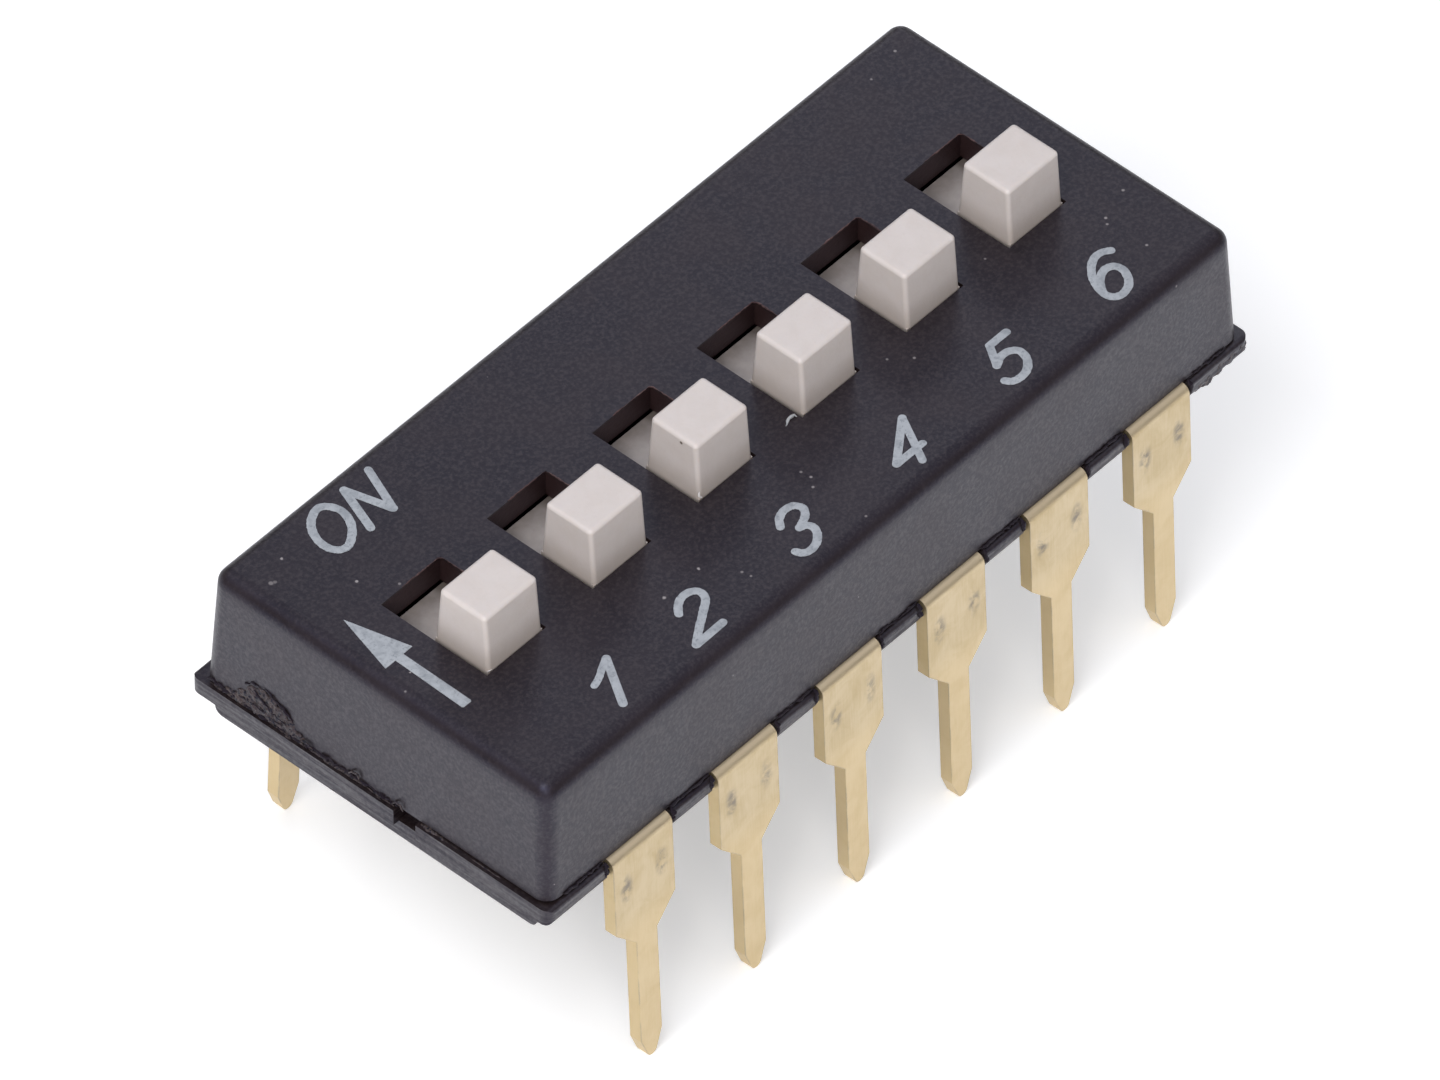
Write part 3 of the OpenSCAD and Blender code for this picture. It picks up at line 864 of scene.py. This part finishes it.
@dataclass(frozen=True)
class Stroke:
    """One pen stroke of the legend: a path of constant width with round ends."""

    points: tuple[Point, ...]
    closed: bool = False
    width: float = 0.145
    ragged: float = 0.005
    cap_steps: int = 8
    filled: bool = False

    def loops(self, wobble: random.Random) -> list[list[Point]]:
        """Outline of the stroke.

        Args:
            wobble: Source of the small unevenness of a printed edge.

        Returns:
            One closed loop, or an outer and an inner one for a closed path.
        """
        if self.filled:
            return [list(self.points)]
        path = smooth_path(self.points, self.closed)
        half = self.width / 2
        last = len(path) - 1
        left: list[Point] = []
        right: list[Point] = []
        for k, here in enumerate(path):
            if self.closed:
                before, after = path[k - 1], path[(k + 1) % len(path)]
            else:
                before, after = path[max(k - 1, 0)], path[min(k + 1, last)]
            along = (after - before).normalized()
            side = Vector((-along.y, along.x))
            for store, sign in ((left, 1.0), (right, -1.0)):
                spot = here + side * sign * (half + wobble.uniform(-self.ragged, self.ragged))
                store.append((spot.x, spot.y))
        if self.closed:
            return [left, right]
        return [left + self._cap(path[-1], path[-2], half) + right[::-1]
                + self._cap(path[0], path[1], half)]

    def _cap(self, tip: Vector, inner: Vector, half: float) -> list[Point]:
        """Half circle round an end of a path, from its left side to its right side."""
        way = (tip - inner).normalized()
        start = math.atan2(way.y, way.x) + math.pi / 2
        made = []
        for k in range(1, self.cap_steps):
            turn = start - math.pi * k / self.cap_steps
            made.append((tip.x + half * math.cos(turn), tip.y + half * math.sin(turn)))
        return made


@dataclass(frozen=True)
class Glyph:
    """A printed sign made of strokes that are fused into one thin layer."""

    name: str
    strokes: tuple[Stroke, ...]
    sunk: float = 0.006
    proud: float = 0.009
    soft_edge: float = 0.004
    merge: float = 0.0002

    def build(self, top: float, seed: int) -> bpy.types.Object:
        """Models the sign on a level face.

        Args:
            top: Height of the face that carries the print.
            seed: Seed of the uneven edge.

        Returns:
            The mesh object, in millimetres.
        """
        wobble = random.Random(seed)
        whole: bpy.types.Object | None = None
        for stroke in self.strokes:
            slab = self._slab(stroke, top, wobble)
            if whole is None:
                whole = slab
                continue
            union = whole.modifiers.new("fuse", "BOOLEAN")
            union.operation = "UNION"
            union.solver = "EXACT"
            union.object = slab
            apply_modifier(whole, union)
            bpy.data.objects.remove(slab)
        edge = whole.modifiers.new("soft_edge", "BEVEL")
        edge.width = self.soft_edge
        edge.segments = 2
        edge.limit_method = "ANGLE"
        edge.angle_limit = math.radians(SOFT_EDGE_ANGLE)
        apply_modifier(whole, edge)
        return whole

    def _slab(self, stroke: Stroke, top: float, wobble: random.Random) -> bpy.types.Object:
        """Turns the flat outline of a stroke into a thin closed slab."""
        flat = bpy.data.curves.new(self.name, "CURVE")
        flat.dimensions = "2D"
        flat.fill_mode = "BOTH"
        flat.extrude = (self.sunk + self.proud) / 2
        for loop in stroke.loops(wobble):
            line = flat.splines.new("POLY")
            line.points.add(len(loop) - 1)
            for spot, (x, y) in zip(line.points, loop):
                spot.co = (x, y, 0.0, 1.0)
            line.use_cyclic_u = True
        slab = curve_to_mesh(flat, self.name)
        slab.location.z = top + (self.proud - self.sunk) / 2
        bpy.ops.object.transform_apply(location=True, rotation=True, scale=True)
        clean_normals(slab, self.merge)
        return slab


@dataclass(frozen=True)
class Blob:
    """One lump of a crust: its middle and its half sizes in millimetres."""

    place: Place
    half: Place


@dataclass(frozen=True)
class Crust:
    """Torn skin of mould flash: lumps that are fused and roughened."""

    name: str
    blobs: tuple[Blob, ...]
    voxel: float = 0.016
    roughness: float = 0.05
    grain: float = 0.09

    def build(self) -> bpy.types.Object:
        """Models the crust.

        Returns:
            The mesh object, in millimetres.
        """
        lumps = []
        for blob in self.blobs:
            bpy.ops.mesh.primitive_ico_sphere_add(subdivisions=4, radius=1.0, location=blob.place)
            lump = bpy.context.object
            lump.scale = blob.half
            lumps.append(lump)
        select_only(lumps[0])
        for lump in lumps:
            lump.select_set(True)
        bpy.ops.object.transform_apply(location=True, rotation=True, scale=True)
        if len(lumps) > 1:
            bpy.ops.object.join()
        crust = bpy.context.view_layer.objects.active
        fuse = crust.modifiers.new("fuse", "REMESH")
        fuse.mode = "VOXEL"
        fuse.voxel_size = self.voxel
        apply_modifier(crust, fuse)
        for share, size in ((1.0, self.grain), (0.45, self.grain * 0.35)):
            roughen(crust, self.roughness * share, size)
        return crust


@dataclass(frozen=True)
class Bead:
    """Uneven thread along a path: flash, a burr or a dark line of painted shadow."""

    name: str
    path: tuple[Place, ...]
    radius: float
    unevenness: float = 0.5
    step: float = 0.06
    drift: float = 0.35

    def build(self, seed: int) -> bpy.types.Object:
        """Models the thread.

        Args:
            seed: Seed of its unevenness.

        Returns:
            The mesh object, in millimetres.
        """
        wobble = random.Random(seed)
        flat = bpy.data.curves.new(self.name, "CURVE")
        flat.dimensions = "3D"
        flat.bevel_depth = 1.0
        flat.bevel_resolution = 2
        flat.use_fill_caps = True
        spots = self._spots()
        line = flat.splines.new("POLY")
        line.points.add(len(spots) - 1)
        level, last = 0.0, len(spots) - 1
        for k, (point, spot) in enumerate(zip(line.points, spots)):
            level = 0.6 * level + 0.4 * wobble.uniform(-1.0, 1.0)
            swell = 1.0 + self.unevenness * (1.6 * level + 0.3 * wobble.uniform(-1.0, 1.0))
            ends = min(1.0, 0.35 + 0.4 * min(k, last - k))
            radius = self.radius * max(swell, 0.25) * ends
            shift = Vector([wobble.uniform(-1.0, 1.0) for _ in range(3)]) * self.drift
            point.co = (*(spot + shift * self.radius), 1.0)
            point.radius = radius
        return curve_to_mesh(flat, self.name)

    def _spots(self) -> list[Vector]:
        """Points along the path at even steps."""
        knots = [Vector(p) for p in self.path]
        made = []
        for a, b in zip(knots, knots[1:]):
            count = max(1, round((b - a).length / self.step))
            made.extend(a.lerp(b, k / count) for k in range(count))
        made.append(knots[-1])
        return made


def roughen(piece: bpy.types.Object, reach: float, size: float) -> None:
    """Displaces a piece with a cloud pattern.

    Args:
        piece: The mesh object.
        reach: Full height of the roughness in millimetres.
        size: Size of the lumps in millimetres.
    """
    clouds = bpy.data.textures.new(f"{piece.name}_clouds", "CLOUDS")
    clouds.noise_scale = size
    clouds.noise_depth = 3
    displace = piece.modifiers.new("roughen", "DISPLACE")
    displace.texture = clouds
    displace.texture_coords = "LOCAL"
    displace.strength = reach
    displace.mid_level = 0.5
    apply_modifier(piece, displace)


# Sub-assemblies


@dataclass
class Legend:
    """Printed legend of the cover: ON, the arrow and the numbers 1 to 6."""

    top: float = COVER_TOP
    ink: PrintInk = field(default_factory=lambda: PrintInk("legend_ink"))

    def glyphs(self) -> list[Glyph]:
        """The printed signs with their strokes on the top face."""
        letter_o = Stroke(((-6.184, 3.295), (-6.04, 3.195), (-5.968, 2.96), (-6.062, 2.69),
                           (-6.25, 2.49), (-6.48, 2.372), (-6.655, 2.45), (-6.722, 2.65),
                           (-6.68, 2.89), (-6.56, 3.095), (-6.385, 3.238)), closed=True, width=0.15)
        letter_n = (Stroke(((-5.93, 2.37), (-5.605, 3.25)), width=0.15),
                    Stroke(((-5.605, 3.25), (-5.366, 2.39)), width=0.155),
                    Stroke(((-5.366, 2.39), (-5.012, 3.262)), width=0.14))
        arrow = (Stroke(((-7.712, 1.345), (-8.046, 0.115), (-7.395, 0.122)), filled=True),
                 Stroke(((-7.804, 0.2), (-7.842, -1.36), (-7.82, -1.385), (-7.65, -1.388),
                         (-7.628, -1.36), (-7.615, 0.2)), filled=True))
        one = (Stroke(((-5.50, -2.375), (-6.052, -3.235)), width=0.15),
               Stroke(((-6.072, -2.63), (-5.93, -2.585), (-5.76, -2.50), (-5.51, -2.37)),
                      width=0.13))
        two = (Stroke(((-4.0, -2.60), (-3.87, -2.465), (-3.68, -2.386), (-3.49, -2.42),
                       (-3.412, -2.545), (-3.475, -2.70), (-3.68, -2.842), (-3.966, -3.018),
                       (-4.16, -3.146), (-4.315, -3.255)), width=0.145),
               Stroke(((-4.315, -3.255), (-3.66, -3.243)), width=0.15))
        three = (Stroke(((-1.485, -2.545), (-1.36, -2.41), (-1.17, -2.345), (-0.99, -2.39),
                         (-0.93, -2.535), (-1.01, -2.66), (-1.15, -2.735), (-1.29, -2.785)),
                        width=0.145),
                 Stroke(((-1.29, -2.785), (-1.175, -2.83), (-1.13, -2.94), (-1.19, -3.08),
                         (-1.335, -3.20), (-1.52, -3.247), (-1.67, -3.19), (-1.722, -3.085)),
                        width=0.15))
        four = (Stroke(((1.64, -2.41), (0.805, -3.02)), width=0.14),
                Stroke(((0.805, -3.025), (1.44, -3.03)), width=0.14),
                Stroke(((1.64, -2.41), (1.155, -3.275)), width=0.14))
        five = (Stroke(((4.20, -2.405), (3.79, -2.402)), width=0.15),
                Stroke(((3.79, -2.402), (3.535, -2.785)), width=0.14),
                Stroke(((3.535, -2.785), (3.72, -2.70), (3.90, -2.715), (4.028, -2.84),
                        (3.985, -3.035), (3.83, -3.19), (3.634, -3.245), (3.455, -3.21),
                        (3.37, -3.105)), width=0.15))
        six = (Stroke(((6.715, -2.47), (6.58, -2.385), (6.40, -2.38), (6.215, -2.48),
                       (6.06, -2.64), (5.95, -2.845), (5.91, -3.03)), width=0.145),
               Stroke(((5.91, -3.03), (5.965, -3.19), (6.12, -3.252), (6.32, -3.195),
                       (6.468, -3.04), (6.525, -2.865), (6.47, -2.73), (6.32, -2.675),
                       (6.135, -2.745), (5.995, -2.88)), closed=True, width=0.15))
        return [Glyph("legend_on_letter_o", (letter_o,)), Glyph("legend_on_letter_n", letter_n),
                Glyph("legend_arrow", arrow), Glyph("legend_1", one), Glyph("legend_2", two),
                Glyph("legend_3", three), Glyph("legend_4", four), Glyph("legend_5", five),
                Glyph("legend_6", six)]

    def build(self) -> list[bpy.types.Object]:
        """Models, dresses and mounts every sign."""
        material = self.ink.make()
        made = []
        for seed, glyph in enumerate(self.glyphs(), start=11):
            piece = glyph.build(self.top, seed)
            finish_piece(piece, glyph.name, material, Body.HOUSING.name_of())
            made.append(piece)
        return made


@dataclass
class Housing:
    """Cover and base, which stay as CAD made them and get their moulded finish."""

    cover: BlackMoulding = field(default_factory=lambda: BlackMoulding(
        "cover_plastic", slots=True, flecks=(
            Fleck(-6.945, 1.748, 0.036, 0.9), Fleck(-7.9, 2.75, 0.055, 0.45),
            Fleck(-7.84, 2.72, 0.045, 0.35), Fleck(-6.52, 1.2, 0.034, 0.5),
            Fleck(-8.19, -0.44, 0.04, 0.6), Fleck(7.21, -1.92, 0.036, 0.7),
            Fleck(7.12, -2.03, 0.032, 0.6), Fleck(7.87, -1.72, 0.036, 0.6),
            Fleck(7.2, -2.82, 0.034, 0.6), Fleck(7.73, 3.15, 0.036, 0.6),
            Fleck(2.77, -1.67, 0.034, 0.6), Fleck(2.45, -1.36, 0.03, 0.5),
            Fleck(5.97, -3.62, 0.034, 0.5), Fleck(5.2, -1.06, 0.03, 0.5),
            Fleck(-0.326, -2.176, 0.034, 0.6), Fleck(-0.469, -2.347, 0.034, 0.6),
            Fleck(-0.352, -1.982, 0.034, 0.5), Fleck(-0.373, -3.41, 0.03, 0.5),
            Fleck(-2.632, -2.738, 0.034, 0.5), Fleck(-2.6, -2.905, 0.03, 0.5))))
    base: BlackMoulding = field(default_factory=lambda: BlackMoulding(
        "base_plastic", roughness=0.4, grain=12.0, dust_share=0.16, strata=0.4))

    def dress(self) -> None:
        """Gives both mouldings their finish."""
        for node, finish in (("cover", self.cover), ("base", self.base)):
            give(node, finish.make())


@dataclass
class MouldFlash:
    """Flash, burrs and torn skin that the moulds left along the seam, and dark beads of painted shadow in
    its gaps.
    """

    seam_start: float = -8.4
    seam_end: float = 8.42
    terminal_half: float = 0.79
    # Offset of the painted notch shadow from a terminal's middle.
    notch_shadow_offset: float = 0.8
    plastic: BlackMoulding = field(default_factory=lambda: BlackMoulding(
        "torn_plastic", body=(0.030, 0.021, 0.018), pale=(0.095, 0.072, 0.062),
        rim=(0.062, 0.044, 0.037), roughness=0.52, grain=13.0, grain_depth=0.000018,
        dust_share=0.1, pits=0.97, rim_painted_shade=0.4))
    # Near-black finish of the dark beads: painted shadow in the seam, its cracks and gaps.
    shadow: BlackMoulding = field(default_factory=lambda: BlackMoulding(
        "seam_painted_shadow", body=(0.006, 0.003, 0.003), pale=(0.016, 0.009, 0.008),
        rim=(0.012, 0.006, 0.005), roughness=0.75, grain=18.0, dust_share=0.0, rim_painted_shade=0.6))
    edge_skin: BlackMoulding = field(default_factory=lambda: BlackMoulding(
        "slot_edge_plastic", body=(0.030, 0.014, 0.011), pale=(0.16, 0.095, 0.082),
        rim=(0.060, 0.028, 0.023), roughness=0.6, grain=13.0, dust_share=0.2, rim_painted_shade=0.6))

    def crusts(self) -> list[Crust]:
        """The torn patch over the seam at the near end and the lumps under the far corner."""
        patch = Crust("seam_tear_near_end", (
            Blob((-8.458, 3.05, 2.27), (0.045, 0.26, 0.09)),
            Blob((-8.452, 2.86, 2.36), (0.045, 0.17, 0.17)),
            Blob((-8.447, 2.68, 2.5), (0.045, 0.16, 0.25)),
            Blob((-8.444, 2.46, 2.58), (0.042, 0.17, 0.26)),
            Blob((-8.446, 2.25, 2.52), (0.048, 0.15, 0.27)),
            Blob((-8.448, 2.05, 2.46), (0.042, 0.16, 0.22)),
            Blob((-8.452, 1.86, 2.38), (0.048, 0.14, 0.16)),
            Blob((-8.458, 1.66, 2.3), (0.045, 0.15, 0.09)),
            Blob((-8.46, 2.4, 2.3), (0.05, 0.5, 0.1))),
            voxel=0.015, roughness=0.085, grain=0.12)
        chip = Crust("gate_chip", (Blob((-8.46, -1.2, 2.17), (0.06, 0.2, 0.035)),
                                   Blob((-8.47, -1.46, 2.15), (0.05, 0.1, 0.04))), roughness=0.03)
        far = Crust("flange_tear_far_corner", (
            Blob((8.46, -3.8, 2.0), (0.14, 0.065, 0.16)), Blob((8.2, -3.8, 1.98), (0.2, 0.065, 0.17)),
            Blob((7.9, -3.8, 1.96), (0.2, 0.065, 0.18)), Blob((7.63, -3.8, 1.93), (0.18, 0.065, 0.18)),
            Blob((7.38, -3.8, 1.96), (0.16, 0.06, 0.16))), roughness=0.05)
        return [patch, chip, far]

    def beads(self) -> list[Bead]:
        """Threads of flash along the seam and the small burrs."""
        return [
            Bead("seam_flash_near_end", ((-8.475, 3.6, 2.205), (-8.475, 1.6, 2.195),
                                         (-8.475, 0.4, 2.205), (-8.475, -0.45, 2.2)), 0.02, 0.6),
            Bead("seam_flash_near_end_low", ((-8.505, 3.5, 2.155), (-8.505, 1.4, 2.16),
                                             (-8.505, -0.42, 2.155)), 0.016, 0.6),
            Bead("seam_flash_front_corner", ((-8.47, -1.05, 2.175), (-8.48, -3.3, 2.17)), 0.012, 0.5),
            Bead("burr_left_of_gate", ((-8.49, 0.56, 2.27), (-8.5, 0.46, 2.38), (-8.5, 0.34, 2.4),
                                       (-8.49, 0.3, 2.27)), 0.017, 0.3, 0.04),
            Bead("burr_at_gate", ((-8.49, -0.42, 2.25), (-8.5, -0.5, 2.36), (-8.5, -0.6, 2.345),
                                  (-8.49, -0.64, 2.23)), 0.018, 0.3, 0.04),
            Bead("burr_in_seam_middle", ((-8.485, 1.62, 2.25), (-8.5, 1.52, 2.33), (-8.5, 1.4, 2.3),
                                         (-8.485, 1.33, 2.25)), 0.016, 0.4, 0.04)]

    def seams(self) -> list[Bead]:
        """Dark ragged lines of painted shadow: in the seam, the crack over the tear and the step beside
        the gate.
        """
        return [
            Bead("seam_line_near_end", ((-8.468, 3.65, 2.28), (-8.47, 3.115, 2.268), (-8.475, 2.544, 2.22),
                                        (-8.47, 1.818, 2.245), (-8.468, 0.919, 2.25),
                                        (-8.468, 0.502, 2.265), (-8.468, -0.48, 2.24)),
                 0.03, 0.75, 0.05, 0.8),
            Bead("seam_tear_crack", ((-8.445, 2.85, 2.7), (-8.447, 2.666, 2.835), (-8.447, 2.38, 2.857),
                                     (-8.449, 2.15, 2.78), (-8.452, 1.965, 2.7), (-8.458, 1.78, 2.53)),
                 0.017, 0.8, 0.05, 0.9),
            Bead("seam_tear_crack_low", ((-8.49, 2.95, 2.36), (-8.5, 2.6, 2.42), (-8.5, 2.3, 2.36),
                                         (-8.495, 2.0, 2.33)), 0.015, 0.9, 0.05, 0.9),
            Bead("seam_tear_crack_middle", ((-8.48, 2.62, 2.72), (-8.49, 2.38, 2.6), (-8.495, 2.2, 2.48),
                                            (-8.49, 1.92, 2.42)), 0.015, 0.9, 0.05, 1.0),
            Bead("gate_step_line", ((-8.5, -0.97, 2.03), (-8.5, -1.3, 2.0), (-8.5, -1.7, 1.955)),
                 0.016, 0.5, 0.05, 0.4)]

    def front_seam(self) -> list[Bead]:
        """Dark ragged beads along the front seam and in the flange's notch beside each terminal: painted
        shadow of those gaps.
        """
        made = []
        for gap in range(WAYS + 1):
            start = max(self.seam_start, way_x(gap) + self.terminal_half)
            end = min(self.seam_end, way_x(gap + 1) - self.terminal_half)
            made.append(Bead(f"seam_line_front_{gap + 1}", (
                (start, SEAM_FRONT, 2.25), ((start + end) / 2, SEAM_FRONT + 0.002, 2.245),
                (end, SEAM_FRONT, 2.25)), 0.02, 0.8, 0.05, 0.7))
        # Dark beads at the flange's notch edges: painted shadow of the gap beside each terminal.
        for number in range(1, WAYS + 1):
            for label, sign in (("near", -1.0), ("far", 1.0)):
                side = way_x(number) + sign * self.notch_shadow_offset
                made.append(Bead(f"flange_rim_{number}_{label}", (
                    (side, -3.82, 2.25), (side, -3.87, 2.17), (side, -3.875, 2.03),
                    (side + sign * 0.01, -3.84, 1.94)), 0.042, 0.4, 0.04, 0.3))
        return made

    def slot_edges(self) -> list[Bead]:
        """Thin ragged skin along the rear edges of the six slots."""
        level = COVER_TOP + 0.001
        made = []
        for number in range(1, WAYS + 1):
            middle = way_x(number)
            made.append(Bead(f"slot_edge_skin_{number}", (
                (middle + 0.716, 0.05, level), (middle + 0.716, 1.06, level),
                (middle + 0.66, 1.118, level), (middle - 0.2, 1.12, level)), 0.0105, 0.9, 0.045, 0.5))
        return made

    def build(self) -> list[bpy.types.Object]:
        """Models, dresses and mounts every bit of flash."""
        torn, dark, skin = self.plastic.make(), self.shadow.make(), self.edge_skin.make()
        pieces = [(crust.name, crust.build(), torn) for crust in self.crusts()]
        # The seam lines and the notch beads are dark: painted shadow of the gaps.
        for beads, first_seed, material in ((self.beads(), 31, torn), (self.seams(), 51, dark),
                                            (self.front_seam(), 111, dark), (self.slot_edges(), 71, skin)):
            for seed, bead in enumerate(beads, first_seed):
                pieces.append((bead.name, bead.build(seed), material))
        for name, piece, material in pieces:
            finish_piece(piece, name, material, Body.HOUSING.name_of())
        return [piece for _, piece, _ in pieces]


@dataclass
class SwitchRow:
    """Six actuators with their contact springs."""

    ways: int = WAYS
    plastic: IvoryMoulding = field(default_factory=lambda: IvoryMoulding(
        "actuator_plastic", flecks=(Fleck(-1.91, -0.765, 0.04, 0.95, z=5.792),)))
    shaving: IvoryMoulding = field(default_factory=lambda: IvoryMoulding(
        "shaving_plastic", body=(0.84, 0.80, 0.79), shade=(0.74, 0.69, 0.67), foot=(1.0, 1.0, 1.0)))
    film: IvoryMoulding = field(default_factory=lambda: IvoryMoulding(
        "film_plastic", body=(0.40, 0.41, 0.43), shade=(0.33, 0.34, 0.36), foot=(1.0, 1.0, 1.0)))
    spring: SpringBronze = field(default_factory=lambda: SpringBronze("contact_bronze"))

    def dress(self) -> None:
        """Gives the sliders and springs their finishes."""
        plastic, spring = self.plastic.make(), self.spring.make()
        for number in range(1, self.ways + 1):
            give(f"actuator_{number}", plastic)
            give(f"contact_{number}", spring)

    def shavings(self) -> list[tuple[Bead, str, Finish]]:
        """Small ivory burrs and a loose sliver, each with its body and its finish."""
        return [
            (Bead("burr_actuator_3", ((-1.92, -1.17, 4.93), (-1.935, -1.185, 4.86),
                                      (-1.9, -1.195, 4.8), (-1.87, -1.185, 4.76)),
                  0.018, 0.4, 0.03), Body.SWITCH.name_of(3), self.shaving),
            (Bead("sliver_by_actuator_4", ((0.5, -1.13, 4.742), (0.5, -1.075, 4.752),
                                           (0.42, -1.06, 4.755), (0.33, -1.08, 4.75),
                                           (0.235, -1.14, 4.742)), 0.021, 0.5, 0.04),
             Body.HOUSING.name_of(), self.film),
            (Bead("burr_actuator_1", ((-7.0, -1.15, 4.755), (-6.93, -1.183, 4.75)), 0.01, 0.4, 0.03),
             Body.SWITCH.name_of(1), self.shaving)]

    def build(self) -> list[bpy.types.Object]:
        """Models, dresses and mounts the burrs."""
        materials = {finish.name: finish.make() for finish in (self.shaving, self.film)}
        made = []
        for seed, (bead, body, finish) in enumerate(self.shavings(), start=91):
            piece = bead.build(seed)
            finish_piece(piece, bead.name, materials[finish.name], body)
            made.append(piece)
        return made


@dataclass
class TerminalRows:
    """Twelve stamped terminals in two rows."""

    count: int = 12
    plating: GoldPlating = field(default_factory=lambda: GoldPlating("terminal_plating"))

    def dress(self) -> None:
        """Gives every terminal its plating."""
        plating = self.plating.make()
        for number in range(1, self.count + 1):
            give(f"terminal_{number}", plating)


def give(node: str, material: bpy.types.Material) -> None:
    """Puts a material in the slots of a CAD node.

    Args:
        node: Name of the CAD node.
        material: The material that it gets.
    """
    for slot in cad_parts[node].material_slots:
        slot.material = material


# Stage


@dataclass(frozen=True)
class Lamp:
    """Soft square lamp that looks at the object, with its place and side in millimetres."""

    name: str
    place: Place
    side: float
    power: float
    tint: Colour = (1.0, 1.0, 1.0)

    def build(self) -> None:
        """Adds the lamp to the scene."""
        lamp = bpy.data.lights.new(self.name, "AREA")
        lamp.color = self.tint
        lamp.shape = "SQUARE"
        lamp.size = self.side * MM
        lamp.energy = self.power
        holder = bpy.data.objects.new(self.name, lamp)
        bpy.context.scene.collection.objects.link(holder)
        holder.location = Vector(self.place) * MM
        holder.rotation_mode = "QUATERNION"
        holder.rotation_quaternion = (-Vector(self.place)).to_track_quat("-Z", "Y")


@dataclass
class Studio:
    """Plain white floor, soft light and the camera at the photograph's viewing angle."""

    floor_z: float = -2.83
    floor_side: float = 4000.0
    floor_paint: Colour = (0.88, 0.88, 0.88)
    floor_glow: float = 0.36
    sky_rise: Span = (0.3, 0.66)
    sky_light: Span = (0.12, 0.6)
    sky_low: Colour = (1.0, 0.97, 0.93)
    sky_high: Colour = (0.94, 0.97, 1.08)
    camera_place: Place = (-206.663, -184.0228, 302.2247)
    camera_turn: Place = (0.74364118, -0.00248968, -0.84034855)
    lens: float = 624.961
    sensor: float = 36.0
    clip: Span = (10.0, 20000.0)
    lamps: tuple[Lamp, ...] = (
        Lamp("key_light", (-110.0, -24.0, 165.0), 90.0, 0.172),
        Lamp("fill_light", (-150.0, -150.0, 125.0), 130.0, 0.19, (1.0, 0.96, 0.9)),
        Lamp("back_light", (82.0, 73.0, 69.0), 30.0, 0.0095))

    def build(self) -> None:
        """Sets up floor, world, lamps, camera and colour management."""
        self._floor()
        self._world()
        for lamp in self.lamps:
            lamp.build()
        self._camera()
        bpy.context.scene.view_settings.view_transform = "Standard"

    def _floor(self) -> None:
        """Adds the white floor, which keeps a soft shadow."""
        bpy.ops.object.select_all(action="DESELECT")
        bpy.ops.mesh.primitive_plane_add(size=self.floor_side * MM,
                                         location=(0.0, 0.0, self.floor_z * MM))
        floor = bpy.context.object
        floor.name = "floor"
        material = bpy.data.materials.new("floor_white")
        canvas = clear_tree(material)
        paint = canvas.add("ShaderNodeBsdfDiffuse")
        canvas.put(paint.inputs["Color"], self.floor_paint)
        glow = canvas.add("ShaderNodeEmission")
        ray = canvas.add("ShaderNodeLightPath")
        seen = canvas.math("MAXIMUM", ray.outputs["Is Camera Ray"], ray.outputs["Is Glossy Ray"])
        seen = canvas.math("MAXIMUM", seen, ray.outputs["Is Transmission Ray"])
        canvas.put(glow.inputs["Strength"], canvas.times(seen, self.floor_glow))
        both = canvas.add("ShaderNodeAddShader")
        canvas.put(both.inputs[0], paint.outputs[0])
        canvas.put(both.inputs[1], glow.outputs[0])
        leave = canvas.add("ShaderNodeOutputMaterial")
        canvas.put(leave.inputs["Surface"], both.outputs[0])
        floor.data.materials.append(material)

    def _world(self) -> None:
        """Soft sky that is dim at the horizon and white where the camera looks at it."""
        world = bpy.data.worlds.new("studio")
        bpy.context.scene.world = world
        canvas = clear_tree(world)
        height = canvas.split(canvas.add("ShaderNodeTexCoord").outputs["Generated"])["Z"]
        sky = canvas.ramp(height, *self.sky_rise, *self.sky_light)
        tint = canvas.blend(canvas.ramp(height, *self.sky_rise), self.sky_low, self.sky_high)
        ray = canvas.add("ShaderNodeLightPath")
        seen = canvas.math("MAXIMUM", ray.outputs["Is Camera Ray"],
                           ray.outputs["Is Transmission Ray"])
        back = canvas.add("ShaderNodeBackground")
        canvas.put(back.inputs["Color"], canvas.blend(seen, tint, (1.0, 1.0, 1.0)))
        canvas.put(back.inputs["Strength"], canvas.math("MAXIMUM", sky, seen))
        leave = canvas.add("ShaderNodeOutputWorld")
        canvas.put(leave.inputs["Surface"], back.outputs[0])

    def _camera(self) -> None:
        """Adds the long lens camera that was fitted to the photograph."""
        data = bpy.data.cameras.new("camera")
        data.sensor_width = self.sensor
        data.sensor_fit = "HORIZONTAL"
        data.lens = self.lens
        data.clip_start = self.clip[0] * MM
        data.clip_end = self.clip[1] * MM
        camera = bpy.data.objects.new("camera", data)
        bpy.context.scene.collection.objects.link(camera)
        camera.location = Vector(self.camera_place) * MM
        camera.rotation_euler = self.camera_turn
        bpy.context.scene.camera = camera


def main() -> None:
    """Builds the stage and every sub-assembly in order."""
    logging.basicConfig(level=logging.INFO, format="%(name)s: %(message)s")
    Studio().build()
    LOG.info("stage is up")
    Housing().dress()
    LOG.info("housing is dressed")
    row = SwitchRow()
    row.dress()
    LOG.info("switches are dressed")
    TerminalRows().dress()
    LOG.info("terminals are dressed")
    for piece in MouldFlash().build() + row.build() + Legend().build():
        LOG.info("%s: %d faces", piece.name, len(piece.data.polygons))


if __name__ == "__main__":
    main()
